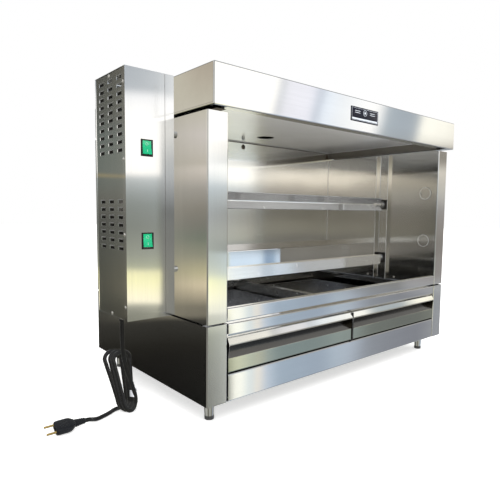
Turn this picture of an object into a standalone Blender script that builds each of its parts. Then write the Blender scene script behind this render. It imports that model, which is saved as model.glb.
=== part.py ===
"""A countertop rotisserie oven with two spits, as an assembly of folded stainless sheets and turned parts.

Metres, +Z up. The open front faces -Y and the motor box stands off the left side, at -X. The origin is on
the surface that the oven stands on, under the middle of the oven without its cord.
"""

import math

import bmesh
import bpy
from mathutils import Matrix, Vector

# Metal and clearances, and how far a cutter reaches past the sheet that it cuts
SHEET = 0.0010
FOLD_RADIUS = 0.0015
FOLD_STEPS = 3
GAP = 0.0003
PANEL_GAP = 0.003
SIDE_GAP = 0.0005
THROUGH = 0.010

# Body
BODY_WIDTH = 0.920
BODY_DEPTH = 0.540
PILLAR = 0.050
PILLAR_RETURN = 0.012
FOOT_HEIGHT = 0.050
BASE_HEIGHT = 0.164
SEAM = 0.004
SKIN_HEIGHT = 0.417
LEDGE_HEIGHT = 0.028
CAVITY_DEPTH = 0.443
WALL_TOP = 0.638
WALL_HOLE = 0.008
WALL_HOLES = (0.060, 0.450, 0.860)
REAR_INSET = 0.003
REAR_VENT = (0.080, 0.008)
REAR_VENT_PITCH = (0.110, 0.022)
REAR_VENT_COLUMNS = 6
REAR_VENT_ROWS = 3
REAR_VENT_LEVEL = 0.560

# Base
BASE_FLANGE = 0.062
FOOT_INSETS = (0.042, 0.052)

# Canopy
CANOPY_LIP = 0.020
CANOPY_BOTTOM = 0.641
CANOPY_HEIGHT = 0.080
CANOPY_RETURN = 0.025
CANOPY_HEM = 0.008
CEILING = 0.665
VENT_RADIUS = 0.025
VENT_PLACE = (0.440, 0.325)
PLATE_SIZE = (0.110, 0.0345)
PLATE_THICKNESS = 0.0012
PLATE_BOTTOM = 0.6645

# Motor box, measured from the body's left side, pillar front and base bottom
MOTOR_REACH = 0.125
MOTOR_STANDOFF = 0.020
TRAY_DEPTH = 0.020
MOTOR_FRONT = 0.0895
MOTOR_DEPTH = 0.138
MOTOR_BOTTOM = 0.227
MOTOR_TOP = 0.711
SPACER_HEIGHTS = (0.320, 0.600)
SWITCH_HEIGHTS = (0.563, 0.383)
SWITCH_HOLE = (0.022, 0.030)
SLOT = (0.0215, 0.006)
SLOT_PITCH = 0.0152
SLOT_COLUMNS = (0.027, 0.068, 0.109)
SLOT_GROUPS = ((0.694, 10), (0.459, 7))

# Spits
SPIT_HEIGHTS = (0.470, 0.292)
SPIT_TURNS = (135, -90)
SPIT_SETBACK = 0.1855
POST_SIZE = (0.047, 0.025)
POST_SPAN = (0.222, 0.633)
PIN_RADIUS = 0.006
SHAFT_HOLE = 0.008
SOCKET_HOLE = 0.015
ANGLE_LEG = 0.030
ANGLE_THICKNESS = 0.0025

# Burner baffle
BAFFLE_SETBACK = 0.350

# Ports in the right inner wall
PORT_RADIUS = 0.0095
PORT_COVER_RADIUS = 0.019
PORT_PIVOT = 0.014

# Rocker switches
ROCKER_PIVOT = 0.004
ROCKER_TILT = 8

# Drip drawers
DRAWER_BOTTOM = 0.111
DRAWER_TOP = 0.184
DRAWER_GAP = 0.004
FRONT_RETURN = 0.020
TRAY_LIFT = 0.0065
TRAY_BACK = 0.495

# Cord
CORD_DIAMETER = 0.0088
BUNDLE_WIDTH = 0.078
BUNDLE_HEIGHT = 0.146
BUNDLE_THICKNESS = 0.048
PLUG_LENGTH = 0.060
PLUG_HALF_SIZE = (0.0150, 0.0085)
PLUG_ROLL = 25
PLUG_PIN_LENGTH = 0.019
PLUG_PIN_RADIUS = 0.0022
PLUG_PIN_SPREAD = 0.0093

# Worked out from the above
LEFT = -(BODY_WIDTH - MOTOR_REACH) / 2
RIGHT = LEFT + BODY_WIDTH
FRONT = -(BODY_DEPTH - CANOPY_LIP - PLATE_THICKNESS - GAP) / 2
BACK = FRONT + BODY_DEPTH
CENTRE = (LEFT + RIGHT) / 2
BASE_BOTTOM = FOOT_HEIGHT
BASE_TOP = BASE_BOTTOM + BASE_HEIGHT
BODY_BOTTOM = BASE_TOP + SEAM
BODY_TOP = BODY_BOTTOM + SKIN_HEIGHT
CAVITY_LEFT = LEFT + PILLAR
CAVITY_RIGHT = RIGHT - PILLAR
CAVITY_BACK = FRONT + CAVITY_DEPTH
CANOPY_TOP = CANOPY_BOTTOM + CANOPY_HEIGHT
SPIT_Y = FRONT + SPIT_SETBACK
MOTOR_LEFT = LEFT - MOTOR_REACH
TRAY_LEFT = LEFT - MOTOR_STANDOFF - TRAY_DEPTH
MOTOR_Y = FRONT + MOTOR_FRONT
MOTOR_BACK = MOTOR_Y + MOTOR_DEPTH
SWITCH_X = LEFT - 0.081
GLAND_X = LEFT - 0.090
GLAND_Y = FRONT + 0.190
GLAND_BOTTOM = MOTOR_BOTTOM - 0.020
PORTS = {"upper": (FRONT + 0.040, 0.505), "lower": (FRONT + 0.041, 0.355)}
BUNDLE_X = LEFT - 0.083
BUNDLE_Y = FRONT + 0.2095
PLUG_X = LEFT - 0.178
PLUG_Y = FRONT + 0.178
CORD_REST = CORD_DIAMETER / 2 + GAP
PLUG_Z = (GAP + PLUG_HALF_SIZE[0] * math.sin(math.radians(PLUG_ROLL))
          + PLUG_HALF_SIZE[1] * math.cos(math.radians(PLUG_ROLL)))

ANGLE_SPAN = (LEFT + 0.080, LEFT + 0.838)

# Names of the axes across each axis, as indices: the outline's first and second, then the axis itself
ACROSS = {"X": (1, 2, 0), "Y": (0, 2, 1), "Z": (0, 1, 2)}

# Looks: colour, metallic, roughness
STAINLESS = ((0.62, 0.62, 0.60), 1.0, 0.28)
DARK_STEEL = ((0.10, 0.10, 0.10), 0.9, 0.45)
GREY_STEEL = ((0.30, 0.32, 0.31), 1.0, 0.40)
CHROME = ((0.80, 0.80, 0.80), 1.0, 0.12)
CAST = ((0.22, 0.21, 0.20), 0.8, 0.55)
BLACK_PLASTIC = ((0.02, 0.02, 0.02), 0.0, 0.45)
GREEN_PLASTIC = ((0.0, 0.36, 0.16), 0.0, 0.15)
WHITE_PLASTIC = ((0.75, 0.76, 0.78), 0.0, 0.40)
RUBBER = ((0.012, 0.012, 0.013), 0.0, 0.38)
PLATE_BLUE = ((0.02, 0.03, 0.10), 0.3, 0.25)


# Shape tools


def point(axis, first, second, along):
    """The place with the two outline coordinates across the axis, and the one along it."""
    place = Vector((0, 0, 0))
    for index, value in zip(ACROSS[axis], (first, second, along)):
        place[index] = value
    return place


def solid(shape):
    """A new object holding the shape, with its faces turned out."""
    bmesh.ops.recalc_face_normals(shape, faces=shape.faces)
    mesh = bpy.data.meshes.new("solid")
    shape.to_mesh(mesh)
    shape.free()
    body = bpy.data.objects.new("solid", mesh)
    bpy.context.scene.collection.objects.link(body)
    return body


def prism(outline, axis, low, high):
    """A closed outline in the plane across the axis, carried from low to high along it."""
    shape = bmesh.new()
    rings = [[shape.verts.new(point(axis, *corner, level)) for corner in outline] for level in (low, high)]
    for ring in rings:
        shape.faces.new(ring)
    for i in range(len(outline)):
        shape.faces.new((rings[0][i - 1], rings[0][i], rings[1][i], rings[1][i - 1]))
    return solid(shape)


def box(low, high):
    """A block between two corners."""
    outline = [(low[0], low[1]), (high[0], low[1]), (high[0], high[1]), (low[0], high[1])]
    return prism(outline, "Z", low[2], high[2])


def turned(profile, axis, first, second, sides=24):
    """A profile of (radius, place along the axis) points spun round the axis through (first, second).

    The profile starts and ends on the axis.
    """
    shape = bmesh.new()
    rings = []
    for radius, along in profile:
        count = sides if radius > 0 else 1
        ring = []
        for i in range(count):
            angle = 2 * math.pi * i / sides
            ring.append(shape.verts.new(point(
                axis, first + radius * math.cos(angle), second + radius * math.sin(angle), along)))
        rings.append(ring)
    for ring, following in zip(rings, rings[1:]):
        for i in range(sides):
            j = (i + 1) % sides
            corners = [ring[i % len(ring)], ring[j % len(ring)]]
            corners += [following[j % len(following)], following[i % len(following)]]
            shape.faces.new(list(dict.fromkeys(corners)))
    body = solid(shape)
    body.data.shade_smooth()
    body.data.set_sharp_from_angle(angle=math.radians(40))
    return body


def rod(axis, first, second, radius, low, high, sides=24):
    """A plain cylinder along an axis."""
    return turned([(0, low), (radius, low), (radius, high), (0, high)], axis, first, second, sides)


def parallel(line, distance):
    """The open line that runs to the left of this one, with mitred corners."""
    normals = []
    for start, end in zip(line, line[1:]):
        along = (end - start).normalized()
        normals.append(Vector((-along.y, along.x)))
    moved = []
    for i, corner in enumerate(line):
        mitre = normals[max(i - 1, 0)] + normals[min(i, len(normals) - 1)]
        moved.append(corner + mitre * (2 * distance / mitre.length_squared))
    return moved


def rounded(line, radius):
    """The open line with an arc at each inner corner."""
    smooth = [line[0]]
    for before, corner, after in zip(line, line[1:], line[2:]):
        to_before = (before - corner).normalized()
        to_after = (after - corner).normalized()
        half = to_before.angle(to_after) / 2
        middle = corner + (to_before + to_after).normalized() * (radius / math.sin(half))
        start = corner + to_before * (radius / math.tan(half)) - middle
        end = corner + to_after * (radius / math.tan(half)) - middle
        for step in range(FOLD_STEPS + 1):
            smooth.append(middle + start.lerp(end, step / FOLD_STEPS).normalized() * radius)
    return smooth + [line[-1]]


def folded(line, thickness=SHEET):
    """The outline of a sheet bent along the line of its outer face, with the metal to the line's left."""
    middle = parallel([Vector(corner) for corner in line], thickness / 2)
    bent = rounded(middle, FOLD_RADIUS + thickness / 2)
    return parallel(bent, thickness / 2) + parallel(bent, -thickness / 2)[::-1]


def settle(body):
    """Keeps the body's evaluated mesh in place of its modifiers."""
    depsgraph = bpy.context.evaluated_depsgraph_get()
    mesh = bpy.data.meshes.new_from_object(body.evaluated_get(depsgraph))
    body.modifiers.clear()
    body.data = mesh
    return body


def combine(body, others, operation):
    """Joins the others to the body, or cuts them out of it, and removes them."""
    for other in others:
        change = body.modifiers.new("combine", "BOOLEAN")
        change.operation = operation
        change.solver = "EXACT"
        change.object = other
        settle(body)
        bpy.data.objects.remove(other)
    return body


def join(body, *others):
    return combine(body, others, "UNION")


def cut(body, *others):
    return combine(body, others, "DIFFERENCE")


def frame(name, place=(0, 0, 0)):
    """An empty that pieces hang from; a moving frame sits on its joint's axis."""
    empty = bpy.data.objects.new(name, None)
    bpy.context.scene.collection.objects.link(empty)
    empty.location = place
    return empty


def finish(name, look):
    """A material of a piece's own."""
    colour, metallic, roughness = look
    surface = bpy.data.materials.new(name + "_finish")
    surface.use_nodes = True
    shader = surface.node_tree.nodes["Principled BSDF"]
    shader.inputs["Base Color"].default_value = (*colour, 1)
    shader.inputs["Metallic"].default_value = metallic
    shader.inputs["Roughness"].default_value = roughness
    return surface


def piece(name, body, look, holder):
    """Names a finished solid, gives it its own material and hangs it from its frame."""
    body.name = name
    body.data.name = name
    body.data.materials.clear()
    body.data.materials.append(finish(name, look))
    body.data.transform(Matrix.Translation(-holder.location))
    body.parent = holder
    return body


def opposite(outline):
    """The same outline on the other side of the body, for outlines that start with x."""
    return [(LEFT + RIGHT - x, other) for x, other in outline]


# Base


def base_sides(chassis):
    """A side skin with its front pillar, and the top flange that the upper body stands over."""
    pillar_return = 0.018
    skin = [(LEFT, BACK), (LEFT, FRONT), (LEFT + PILLAR, FRONT), (LEFT + PILLAR, FRONT + pillar_return)]
    flange_front = FRONT + pillar_return + 0.0035
    flange = [(LEFT + SHEET / 2, flange_front), (LEFT + BASE_FLANGE, flange_front),
              (LEFT + BASE_FLANGE, BACK), (LEFT + SHEET / 2, BACK)]
    for name, turn in (("base_left_side", list), ("base_right_side", opposite)):
        side = prism(turn(folded(skin)), "Z", BASE_BOTTOM, BASE_TOP)
        join(side, prism(turn(flange), "Z", BASE_TOP - SHEET, BASE_TOP))
        piece(name, side, STAINLESS, chassis)


def base_panels(chassis):
    """The floor, the back and the folded sheets across the front."""
    inside = SHEET + GAP
    rear = BACK - REAR_INSET
    fold = FRONT + 0.018
    piece("base_floor", box(
        (LEFT + inside, fold + FOLD_RADIUS, BASE_BOTTOM),
        (RIGHT - inside, rear - inside, BASE_BOTTOM + SHEET)), GREY_STEEL, chassis)
    piece("base_back_panel", box(
        (LEFT + inside, rear - SHEET, BASE_BOTTOM),
        (RIGHT - inside, rear, BASE_TOP - inside)), GREY_STEEL, chassis)

    low, high = LEFT + PILLAR + PANEL_GAP, RIGHT - PILLAR - PANEL_GAP
    panel_top = DRAWER_BOTTOM - PANEL_GAP
    panel = [(fold, panel_top), (FRONT, panel_top), (FRONT, BASE_BOTTOM), (fold, BASE_BOTTOM)]
    piece("base_front_panel", prism(folded(panel), "X", low, high), STAINLESS, chassis)
    rail_bottom = DRAWER_TOP + PANEL_GAP
    chamfer = (0.003, 0.005)
    rail = [(FRONT + 0.020, BASE_TOP), (FRONT, BASE_TOP), (FRONT, rail_bottom + chamfer[1]),
            (FRONT + chamfer[0], rail_bottom), (FRONT + 0.015, rail_bottom)]
    piece("base_front_rail", prism(folded(rail), "X", low, high), STAINLESS, chassis)


def base_rails(chassis):
    """The rails under the cavity: one at the back, one down the middle, and the outer drawer runners."""
    rail_low, rail_high, depth = FRONT + 0.4985, FRONT + 0.520, 0.026
    side = BASE_FLANGE + 0.0005
    back = [(rail_high, BASE_TOP - depth), (rail_high, BASE_TOP), (rail_low, BASE_TOP),
            (rail_low, BASE_TOP - depth)]
    piece("base_back_rail", prism(folded(back), "X", LEFT + side, RIGHT - side), GREY_STEEL, chassis)

    low, high = FRONT + 0.0285, rail_low - 0.0005
    web, cap, shelf = SHEET, 0.010, 0.018
    shelf_top, cap_top = DRAWER_BOTTOM + TRAY_LIFT - GAP, BASE_TOP - 0.0018
    shelf_bottom, cap_bottom = shelf_top - SHEET, cap_top - SHEET
    middle = [(-shelf, shelf_bottom), (shelf, shelf_bottom), (shelf, shelf_top), (web, shelf_top),
              (web, cap_bottom), (cap, cap_bottom), (cap, cap_top), (-cap, cap_top),
              (-cap, cap_bottom), (-web, cap_bottom), (-web, shelf_top), (-shelf, shelf_top)]
    piece("base_centre_rail", prism(
        [(CENTRE + x, z) for x, z in middle], "Y", low, high), GREY_STEEL, chassis)

    wall, leg = LEFT + 0.058, 0.020
    runner = [(wall, shelf_top + leg), (wall, shelf_bottom), (wall + leg, shelf_bottom)]
    for name, turn in (("drawer_runner_left", list), ("drawer_runner_right", opposite)):
        piece(name, prism(turn(folded(runner)), "Y", low, high), GREY_STEEL, chassis)


def feet(chassis):
    """Four feet: a tapered sleeve under the floor and a tip that screws up into it."""
    names = ("front_left", "front_right", "back_left", "back_right")
    stud, bore, disc = 0.0048, 0.0054, 0.0105
    disc_top, stud_top, bore_top = 0.0083, 0.0435, 0.0447
    neck, shoulder = 0.0100, 0.0120
    for i, name in enumerate(names):
        x = (LEFT + FOOT_INSETS[0]) if i % 2 == 0 else (RIGHT - FOOT_INSETS[0])
        y = (FRONT + FOOT_INSETS[1]) if i < 2 else (BACK - FOOT_INSETS[1])
        sleeve = [(0, bore_top), (bore, bore_top), (bore, disc_top + GAP), (neck, disc_top + GAP),
                  (neck + 0.0008, 0.020), (shoulder, 0.0440), (shoulder, FOOT_HEIGHT - GAP),
                  (0, FOOT_HEIGHT - GAP)]
        piece("foot_sleeve_" + name, turned(sleeve, "Z", x, y, 20), CHROME, chassis)
        tip_frame = frame("foot_axis_" + name, (x, y, 0))
        tip = [(0, 0), (disc - 0.001, 0), (disc, 0.001), (disc, disc_top), (stud, disc_top),
               (stud, stud_top), (0, stud_top)]
        piece("foot_tip_" + name, turned(tip, "Z", x, y, 20), DARK_STEEL, tip_frame)


# Drip drawers


def drawer_tray(low, high):
    """An open tray between two corners, as an outer and an inner shell joined at the rim."""
    outer = box(low, high)
    inner = box((low[0] + SHEET, low[1] + SHEET, low[2] + SHEET),
                (high[0] - SHEET, high[1] - SHEET, high[2] + SHEET))
    return cut(outer, inner)


def drawer_front(low, high):
    """A folded front: a sloping lip, a finger pull that slopes out from under it, and a flat strip."""
    deep = FRONT + FRONT_RETURN
    lip_top, lip_front = FRONT + 0.003, FRONT - 0.004
    lip_bottom, pull_top, pull_bottom = DRAWER_TOP - 0.016, DRAWER_TOP - 0.019, DRAWER_TOP - 0.043
    line = [(deep, DRAWER_TOP), (lip_top, DRAWER_TOP), (lip_front, lip_bottom), (deep, pull_top),
            (FRONT, pull_bottom), (FRONT, DRAWER_BOTTOM), (deep, DRAWER_BOTTOM)]
    front = prism(folded(line), "X", low, high)
    bite = SHEET / 2
    end_back = deep + 5 * bite
    end = [(end_back, DRAWER_TOP), (lip_top + bite, DRAWER_TOP), (lip_front + SHEET, lip_bottom - bite),
           (FRONT + bite, pull_bottom), (FRONT + bite, DRAWER_BOTTOM + bite),
           (end_back, DRAWER_BOTTOM + bite)]
    for side in (low, high - SHEET):
        join(front, prism(end, "X", side, side + SHEET))
    return front


def drawers():
    """Two drawers side by side that slide out to the front."""
    edge, half_gap = PILLAR + PANEL_GAP, DRAWER_GAP / 2
    outer, inner = 0.009, 0.004
    spans = (("left", LEFT + edge, CENTRE - half_gap, outer, inner),
             ("right", CENTRE + half_gap, RIGHT - edge, inner, outer))
    for side, low, high, from_low, from_high in spans:
        holder = frame("drawer_axis_" + side, ((low + high) / 2, FRONT, DRAWER_BOTTOM))
        tray = drawer_tray((low + from_low, FRONT + FRONT_RETURN + 0.0029, DRAWER_BOTTOM + TRAY_LIFT),
                           (high - from_high, FRONT + TRAY_BACK, DRAWER_TOP - 0.0045))
        piece("drawer_tray_" + side, tray, GREY_STEEL, holder)
        piece("drawer_front_" + side, drawer_front(low, high), STAINLESS, holder)


# Upper body


def shaft_holes(low, high, radius):
    """Cutters along X at both spits."""
    return [rod("X", SPIT_Y, height, radius, low, high) for height in SPIT_HEIGHTS]


def side_skins(chassis):
    """The outer sides, each folded round into its front pillar."""
    line = [(LEFT, BACK), (LEFT, FRONT), (CAVITY_LEFT, FRONT), (CAVITY_LEFT, FRONT + PILLAR_RETURN)]
    left = prism(folded(line), "Z", BODY_BOTTOM, BODY_TOP)
    cut(left, *shaft_holes(LEFT - THROUGH, LEFT + THROUGH, SHAFT_HOLE))
    piece("left_side_skin", left, STAINLESS, chassis)
    right = prism(opposite(folded(line)), "Z", BODY_BOTTOM, BODY_TOP)
    piece("right_side_skin", right, STAINLESS, chassis)


def inner_walls(chassis):
    """The cavity's side walls: holes for the drive sockets on the left, and the two ports on the right."""
    front, back = FRONT + PILLAR_RETURN + GAP, CAVITY_BACK - GAP
    left = box((CAVITY_LEFT - SHEET, front, BODY_BOTTOM), (CAVITY_LEFT, back, WALL_TOP))
    cut(left, *shaft_holes(CAVITY_LEFT - THROUGH, CAVITY_LEFT + THROUGH, SOCKET_HOLE))
    piece("inner_left_wall", left, STAINLESS, chassis)
    right = box((CAVITY_RIGHT, front, BODY_BOTTOM), (CAVITY_RIGHT + SHEET, back, WALL_TOP))
    for y, z in PORTS.values():
        cut(right, rod("X", y, z, PORT_RADIUS, CAVITY_RIGHT - THROUGH, CAVITY_RIGHT + THROUGH))
    piece("inner_right_wall", right, STAINLESS, chassis)


def back_walls(chassis):
    """The cavity's back wall with its three high holes, and the vented rear cover."""
    wide = 0.030
    wall = box((LEFT + wide, CAVITY_BACK, BODY_BOTTOM), (RIGHT - wide, CAVITY_BACK + SHEET, CEILING - GAP))
    for x in WALL_HOLES:
        low, high = CAVITY_BACK - THROUGH, CAVITY_BACK + THROUGH
        cut(wall, rod("Y", LEFT + x, CEILING - 0.015, WALL_HOLE, low, high, 16))
    piece("cavity_back_wall", wall, STAINLESS, chassis)

    inside = SHEET + GAP
    rear = BACK - REAR_INSET
    cover = box((LEFT + inside, rear - SHEET, BODY_BOTTOM), (RIGHT - inside, rear, BODY_TOP))
    half_width, half_height = REAR_VENT[0] / 2, REAR_VENT[1] / 2
    for column in range(REAR_VENT_COLUMNS):
        for row in range(REAR_VENT_ROWS):
            x = CENTRE + (column - (REAR_VENT_COLUMNS - 1) / 2) * REAR_VENT_PITCH[0]
            z = REAR_VENT_LEVEL + row * REAR_VENT_PITCH[1]
            cut(cover, box((x - half_width, rear - THROUGH, z - half_height),
                           (x + half_width, rear + THROUGH, z + half_height)))
    piece("rear_cover", cover, STAINLESS, chassis)


def front_ledge(chassis):
    """The folded sill across the cavity's mouth."""
    top = BODY_BOTTOM + LEDGE_HEIGHT
    line = [(FRONT + PILLAR_RETURN, top), (FRONT, top), (FRONT, BODY_BOTTOM), (FRONT + 0.022, BODY_BOTTOM)]
    ledge = prism(folded(line), "X", CAVITY_LEFT + SIDE_GAP, CAVITY_RIGHT - SIDE_GAP)
    piece("front_ledge", ledge, STAINLESS, chassis)


def canopy(chassis):
    """A pan over the whole top, with a return all round its bottom edge and a hem on the return."""
    def ring(inset, z):
        left, right = LEFT + inset, RIGHT - inset
        front, back = FRONT - CANOPY_LIP + inset, BACK - inset
        return [(left, front, z), (right, front, z), (right, back, z), (left, back, z)]

    levels = [ring(0, CANOPY_TOP), ring(0, CANOPY_BOTTOM), ring(CANOPY_RETURN, CANOPY_BOTTOM),
              ring(CANOPY_RETURN, CANOPY_BOTTOM + CANOPY_HEM)]
    shape = bmesh.new()
    rings = [[shape.verts.new(corner) for corner in level] for level in levels]
    shape.faces.new(rings[0])
    for upper, lower in zip(rings, rings[1:]):
        for i in range(4):
            j = (i + 1) % 4
            shape.faces.new((lower[i], lower[j], upper[j], upper[i]))
    mesh = bpy.data.meshes.new("solid")
    shape.to_mesh(mesh)
    shape.free()
    shell = bpy.data.objects.new("solid", mesh)
    bpy.context.scene.collection.objects.link(shell)
    bend = shell.modifiers.new("bend", "BEVEL")
    bend.width = FOLD_RADIUS + SHEET
    bend.segments = FOLD_STEPS
    metal = shell.modifiers.new("metal", "SOLIDIFY")
    metal.thickness = SHEET
    metal.offset = -1
    metal.use_even_offset = True
    piece("canopy_shell", settle(shell), STAINLESS, chassis)


def ceiling(chassis):
    """The cavity's ceiling with a skirt down each side and a round vent."""
    skirt = CANOPY_BOTTOM + 0.001
    line = [(CAVITY_LEFT, skirt), (CAVITY_LEFT, CEILING), (CAVITY_RIGHT, CEILING), (CAVITY_RIGHT, skirt)]
    panel = prism(folded(line), "Y", FRONT + 0.008, CAVITY_BACK - GAP)
    x, y = LEFT + VENT_PLACE[0], FRONT + VENT_PLACE[1]
    cut(panel, rod("Z", x, y, VENT_RADIUS, CEILING - THROUGH, CEILING + THROUGH, 32))
    piece("ceiling_panel", panel, STAINLESS, chassis)


def name_plate(chassis):
    """A plain plate on the canopy's front."""
    width, height = PLATE_SIZE
    back = FRONT - CANOPY_LIP - GAP
    plate = box((CENTRE - width / 2, back - PLATE_THICKNESS, PLATE_BOTTOM),
                (CENTRE + width / 2, back, PLATE_BOTTOM + height))
    piece("name_plate", plate, PLATE_BLUE, chassis)


def burner(chassis):
    """The tube along the foot of the back wall, and the folded baffle in front of it."""
    face, bottom, top = FRONT + BAFFLE_SETBACK, 0.245, 0.325
    line = [(CAVITY_BACK - GAP, top + 0.011), (face, top), (face, bottom), (face + 0.015, bottom)]
    low, high = CAVITY_LEFT + SIDE_GAP, CAVITY_RIGHT - SIDE_GAP
    baffle = prism(folded(line), "X", low, high)
    reach, corner, inset = 0.020, 0.010, 0.003
    tab = [(face + SHEET, bottom + inset), (face + SHEET, top - inset)]
    for degrees in range(0, 91, 30):
        angle = math.radians(degrees)
        tab.append((face - reach + corner - corner * math.sin(angle),
                    top - inset - corner + corner * math.cos(angle)))
    tab.append((face - reach, bottom + inset))
    for side in (low, high - SHEET):
        join(baffle, prism(tab, "X", side, side + SHEET))
    piece("burner_baffle", baffle, STAINLESS, chassis)

    ends = 0.004
    tube_y, tube_z, radius = FRONT + 0.405, 0.285, 0.011
    tube = rod("X", tube_y, tube_z, radius, CAVITY_LEFT + ends, CAVITY_RIGHT - ends)
    piece("burner_tube", tube, GREY_STEEL, chassis)


# Spits and their bearings


def spit_post(chassis):
    """A channel up the right wall, open to the cavity, with a bearing block at each spit."""
    width, depth = POST_SIZE
    low, high = SPIT_Y - width / 2, SPIT_Y + width / 2
    web, tip = CAVITY_RIGHT - GAP, CAVITY_RIGHT - depth
    post = prism(folded([(tip, low), (web, low), (web, high), (tip, high)]), "Z", *POST_SPAN)
    piece("spit_post", post, STAINLESS, chassis)
    half_width, half_height = width / 2 - SHEET - GAP, 0.016
    for name, height in zip(("upper", "lower"), SPIT_HEIGHTS):
        block = box((tip + 0.002, SPIT_Y - half_width, height - half_height),
                    (web - SHEET - FOLD_RADIUS, SPIT_Y + half_width, height + half_height))
        cut(block, rod("X", SPIT_Y, height, PIN_RADIUS + 0.0004, tip, CAVITY_RIGHT))
        piece("bearing_block_" + name, block, CAST, chassis)


def about_spit(outline, height, degrees):
    """Points round a spit's centre, turned and carried to that spit."""
    turn = Matrix.Rotation(math.radians(degrees), 2)
    return [(SPIT_Y + moved.x, height + moved.y) for moved in (turn @ Vector(corner) for corner in outline)]


def square(half):
    return [(-half, -half), (half, -half), (half, half), (-half, half)]


def spits():
    """An angle section with a round pin at its right end, and a square shank in a drive socket."""
    inner = PIN_RADIUS - 0.0001
    outer = inner + ANGLE_THICKNESS
    tip = ANGLE_LEG - outer
    section = [(-outer, -outer), (tip, -outer), (tip, -inner),
               (-inner, -inner), (-inner, tip), (-outer, tip)]
    weld, shank_end = 0.029, LEFT + 0.0525
    shaft, cup, shaft_end, mouth = 0.005, 0.013, LEFT - 0.0214, LEFT + 0.074
    for name, height, degrees in zip(("upper", "lower"), SPIT_HEIGHTS, SPIT_TURNS):
        axis = frame(name + "_spit_axis", (LEFT, SPIT_Y, height))
        spit = prism(about_spit(section, height, degrees), "X", *ANGLE_SPAN)
        join(spit, rod("X", SPIT_Y, height, PIN_RADIUS, ANGLE_SPAN[1] - weld, CAVITY_RIGHT - 0.006))
        shank = about_spit(square(PIN_RADIUS), height, degrees)
        join(spit, prism(shank, "X", shank_end, ANGLE_SPAN[0] + weld))
        piece(name + "_spit", spit, STAINLESS, axis)

        socket = turned([(0, shaft_end), (shaft, shaft_end), (shaft, LEFT + 0.036),
                         (cup, LEFT + 0.040), (cup, mouth), (0, mouth)], "X", SPIT_Y, height)
        hole = about_spit(square(PIN_RADIUS + 0.0004), height, degrees)
        cut(socket, prism(hole, "X", shank_end - 0.001, mouth + THROUGH))
        piece("drive_socket_" + name, socket, CHROME, axis)


def port_covers():
    """Round covers that swing on a rivet behind the middle of each port."""
    thickness, rivet, head = 0.0015, 0.003, 0.0012
    for name, (y, z) in PORTS.items():
        axis = frame("port_cover_axis_" + name, (CAVITY_RIGHT, y + PORT_PIVOT, z))
        back = CAVITY_RIGHT - GAP
        face = back - thickness
        cover = rod("X", y, z, PORT_COVER_RADIUS, face, back, 32)
        join(cover, rod("X", y + PORT_PIVOT, z, rivet, face - head, back - SHEET, 12))
        piece("port_cover_" + name, cover, STAINLESS, axis)


# Motor box


def motor_box(chassis):
    """A tray on four spacers, the cover that closes over it and the louvred panel in the cover's side."""
    low, high = (TRAY_LEFT, MOTOR_Y, MOTOR_BOTTOM), (LEFT - MOTOR_STANDOFF, MOTOR_BACK, MOTOR_TOP)
    tray = box(low, high)
    cut(tray, box((low[0] - THROUGH, low[1] + SHEET, low[2] + SHEET),
                  (high[0] - SHEET, high[1] - SHEET, high[2] - SHEET)))
    spacer, inset = 0.007, 0.025
    for y in (MOTOR_Y + inset, MOTOR_BACK - inset):
        for z in SPACER_HEIGHTS:
            join(tray, rod("X", y, z, spacer, high[0] - SHEET / 2, LEFT - GAP, 12))
    cut(tray, *shaft_holes(high[0] - THROUGH, high[0] + THROUGH, SHAFT_HOLE))
    piece("motor_tray", tray, STAINLESS, chassis)

    cover = box((MOTOR_LEFT, MOTOR_Y, MOTOR_BOTTOM), (TRAY_LEFT - GAP, MOTOR_BACK, MOTOR_TOP))
    cut(cover, box((MOTOR_LEFT - THROUGH, MOTOR_Y + SHEET, MOTOR_BOTTOM + SHEET),
                   (LEFT, MOTOR_BACK - SHEET, MOTOR_TOP - SHEET)))
    flange, bite = 0.013, SHEET / 2
    join(cover, box((MOTOR_LEFT, MOTOR_Y + bite, MOTOR_BOTTOM + bite),
                    (MOTOR_LEFT + SHEET, MOTOR_Y + flange, MOTOR_TOP - bite)))
    half_width, half_height = SWITCH_HOLE[0] / 2, SWITCH_HOLE[1] / 2
    for z in SWITCH_HEIGHTS:
        cut(cover, box((SWITCH_X - half_width, MOTOR_Y - THROUGH, z - half_height),
                       (SWITCH_X + half_width, MOTOR_Y + THROUGH, z + half_height)))
    cut(cover, rod("Z", GLAND_X, GLAND_Y, 0.0084, MOTOR_BOTTOM - THROUGH, MOTOR_BOTTOM + THROUGH))
    piece("motor_cover", cover, STAINLESS, chassis)

    inside = SHEET + 2 * GAP
    back = MOTOR_LEFT + SHEET + GAP
    panel = box((back, MOTOR_Y + inside, MOTOR_BOTTOM + inside),
                (back + SHEET, MOTOR_BACK - inside, MOTOR_TOP - inside))
    width, height = SLOT
    for top, rows in SLOT_GROUPS:
        for row in range(rows):
            z = top - row * SLOT_PITCH
            slots = [box((back - THROUGH, MOTOR_Y + y - width / 2, z - height / 2),
                         (back + THROUGH, MOTOR_Y + y + width / 2, z + height / 2)) for y in SLOT_COLUMNS]
            cut(panel, *slots)
    piece("louvred_panel", panel, GREY_STEEL, chassis)


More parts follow.
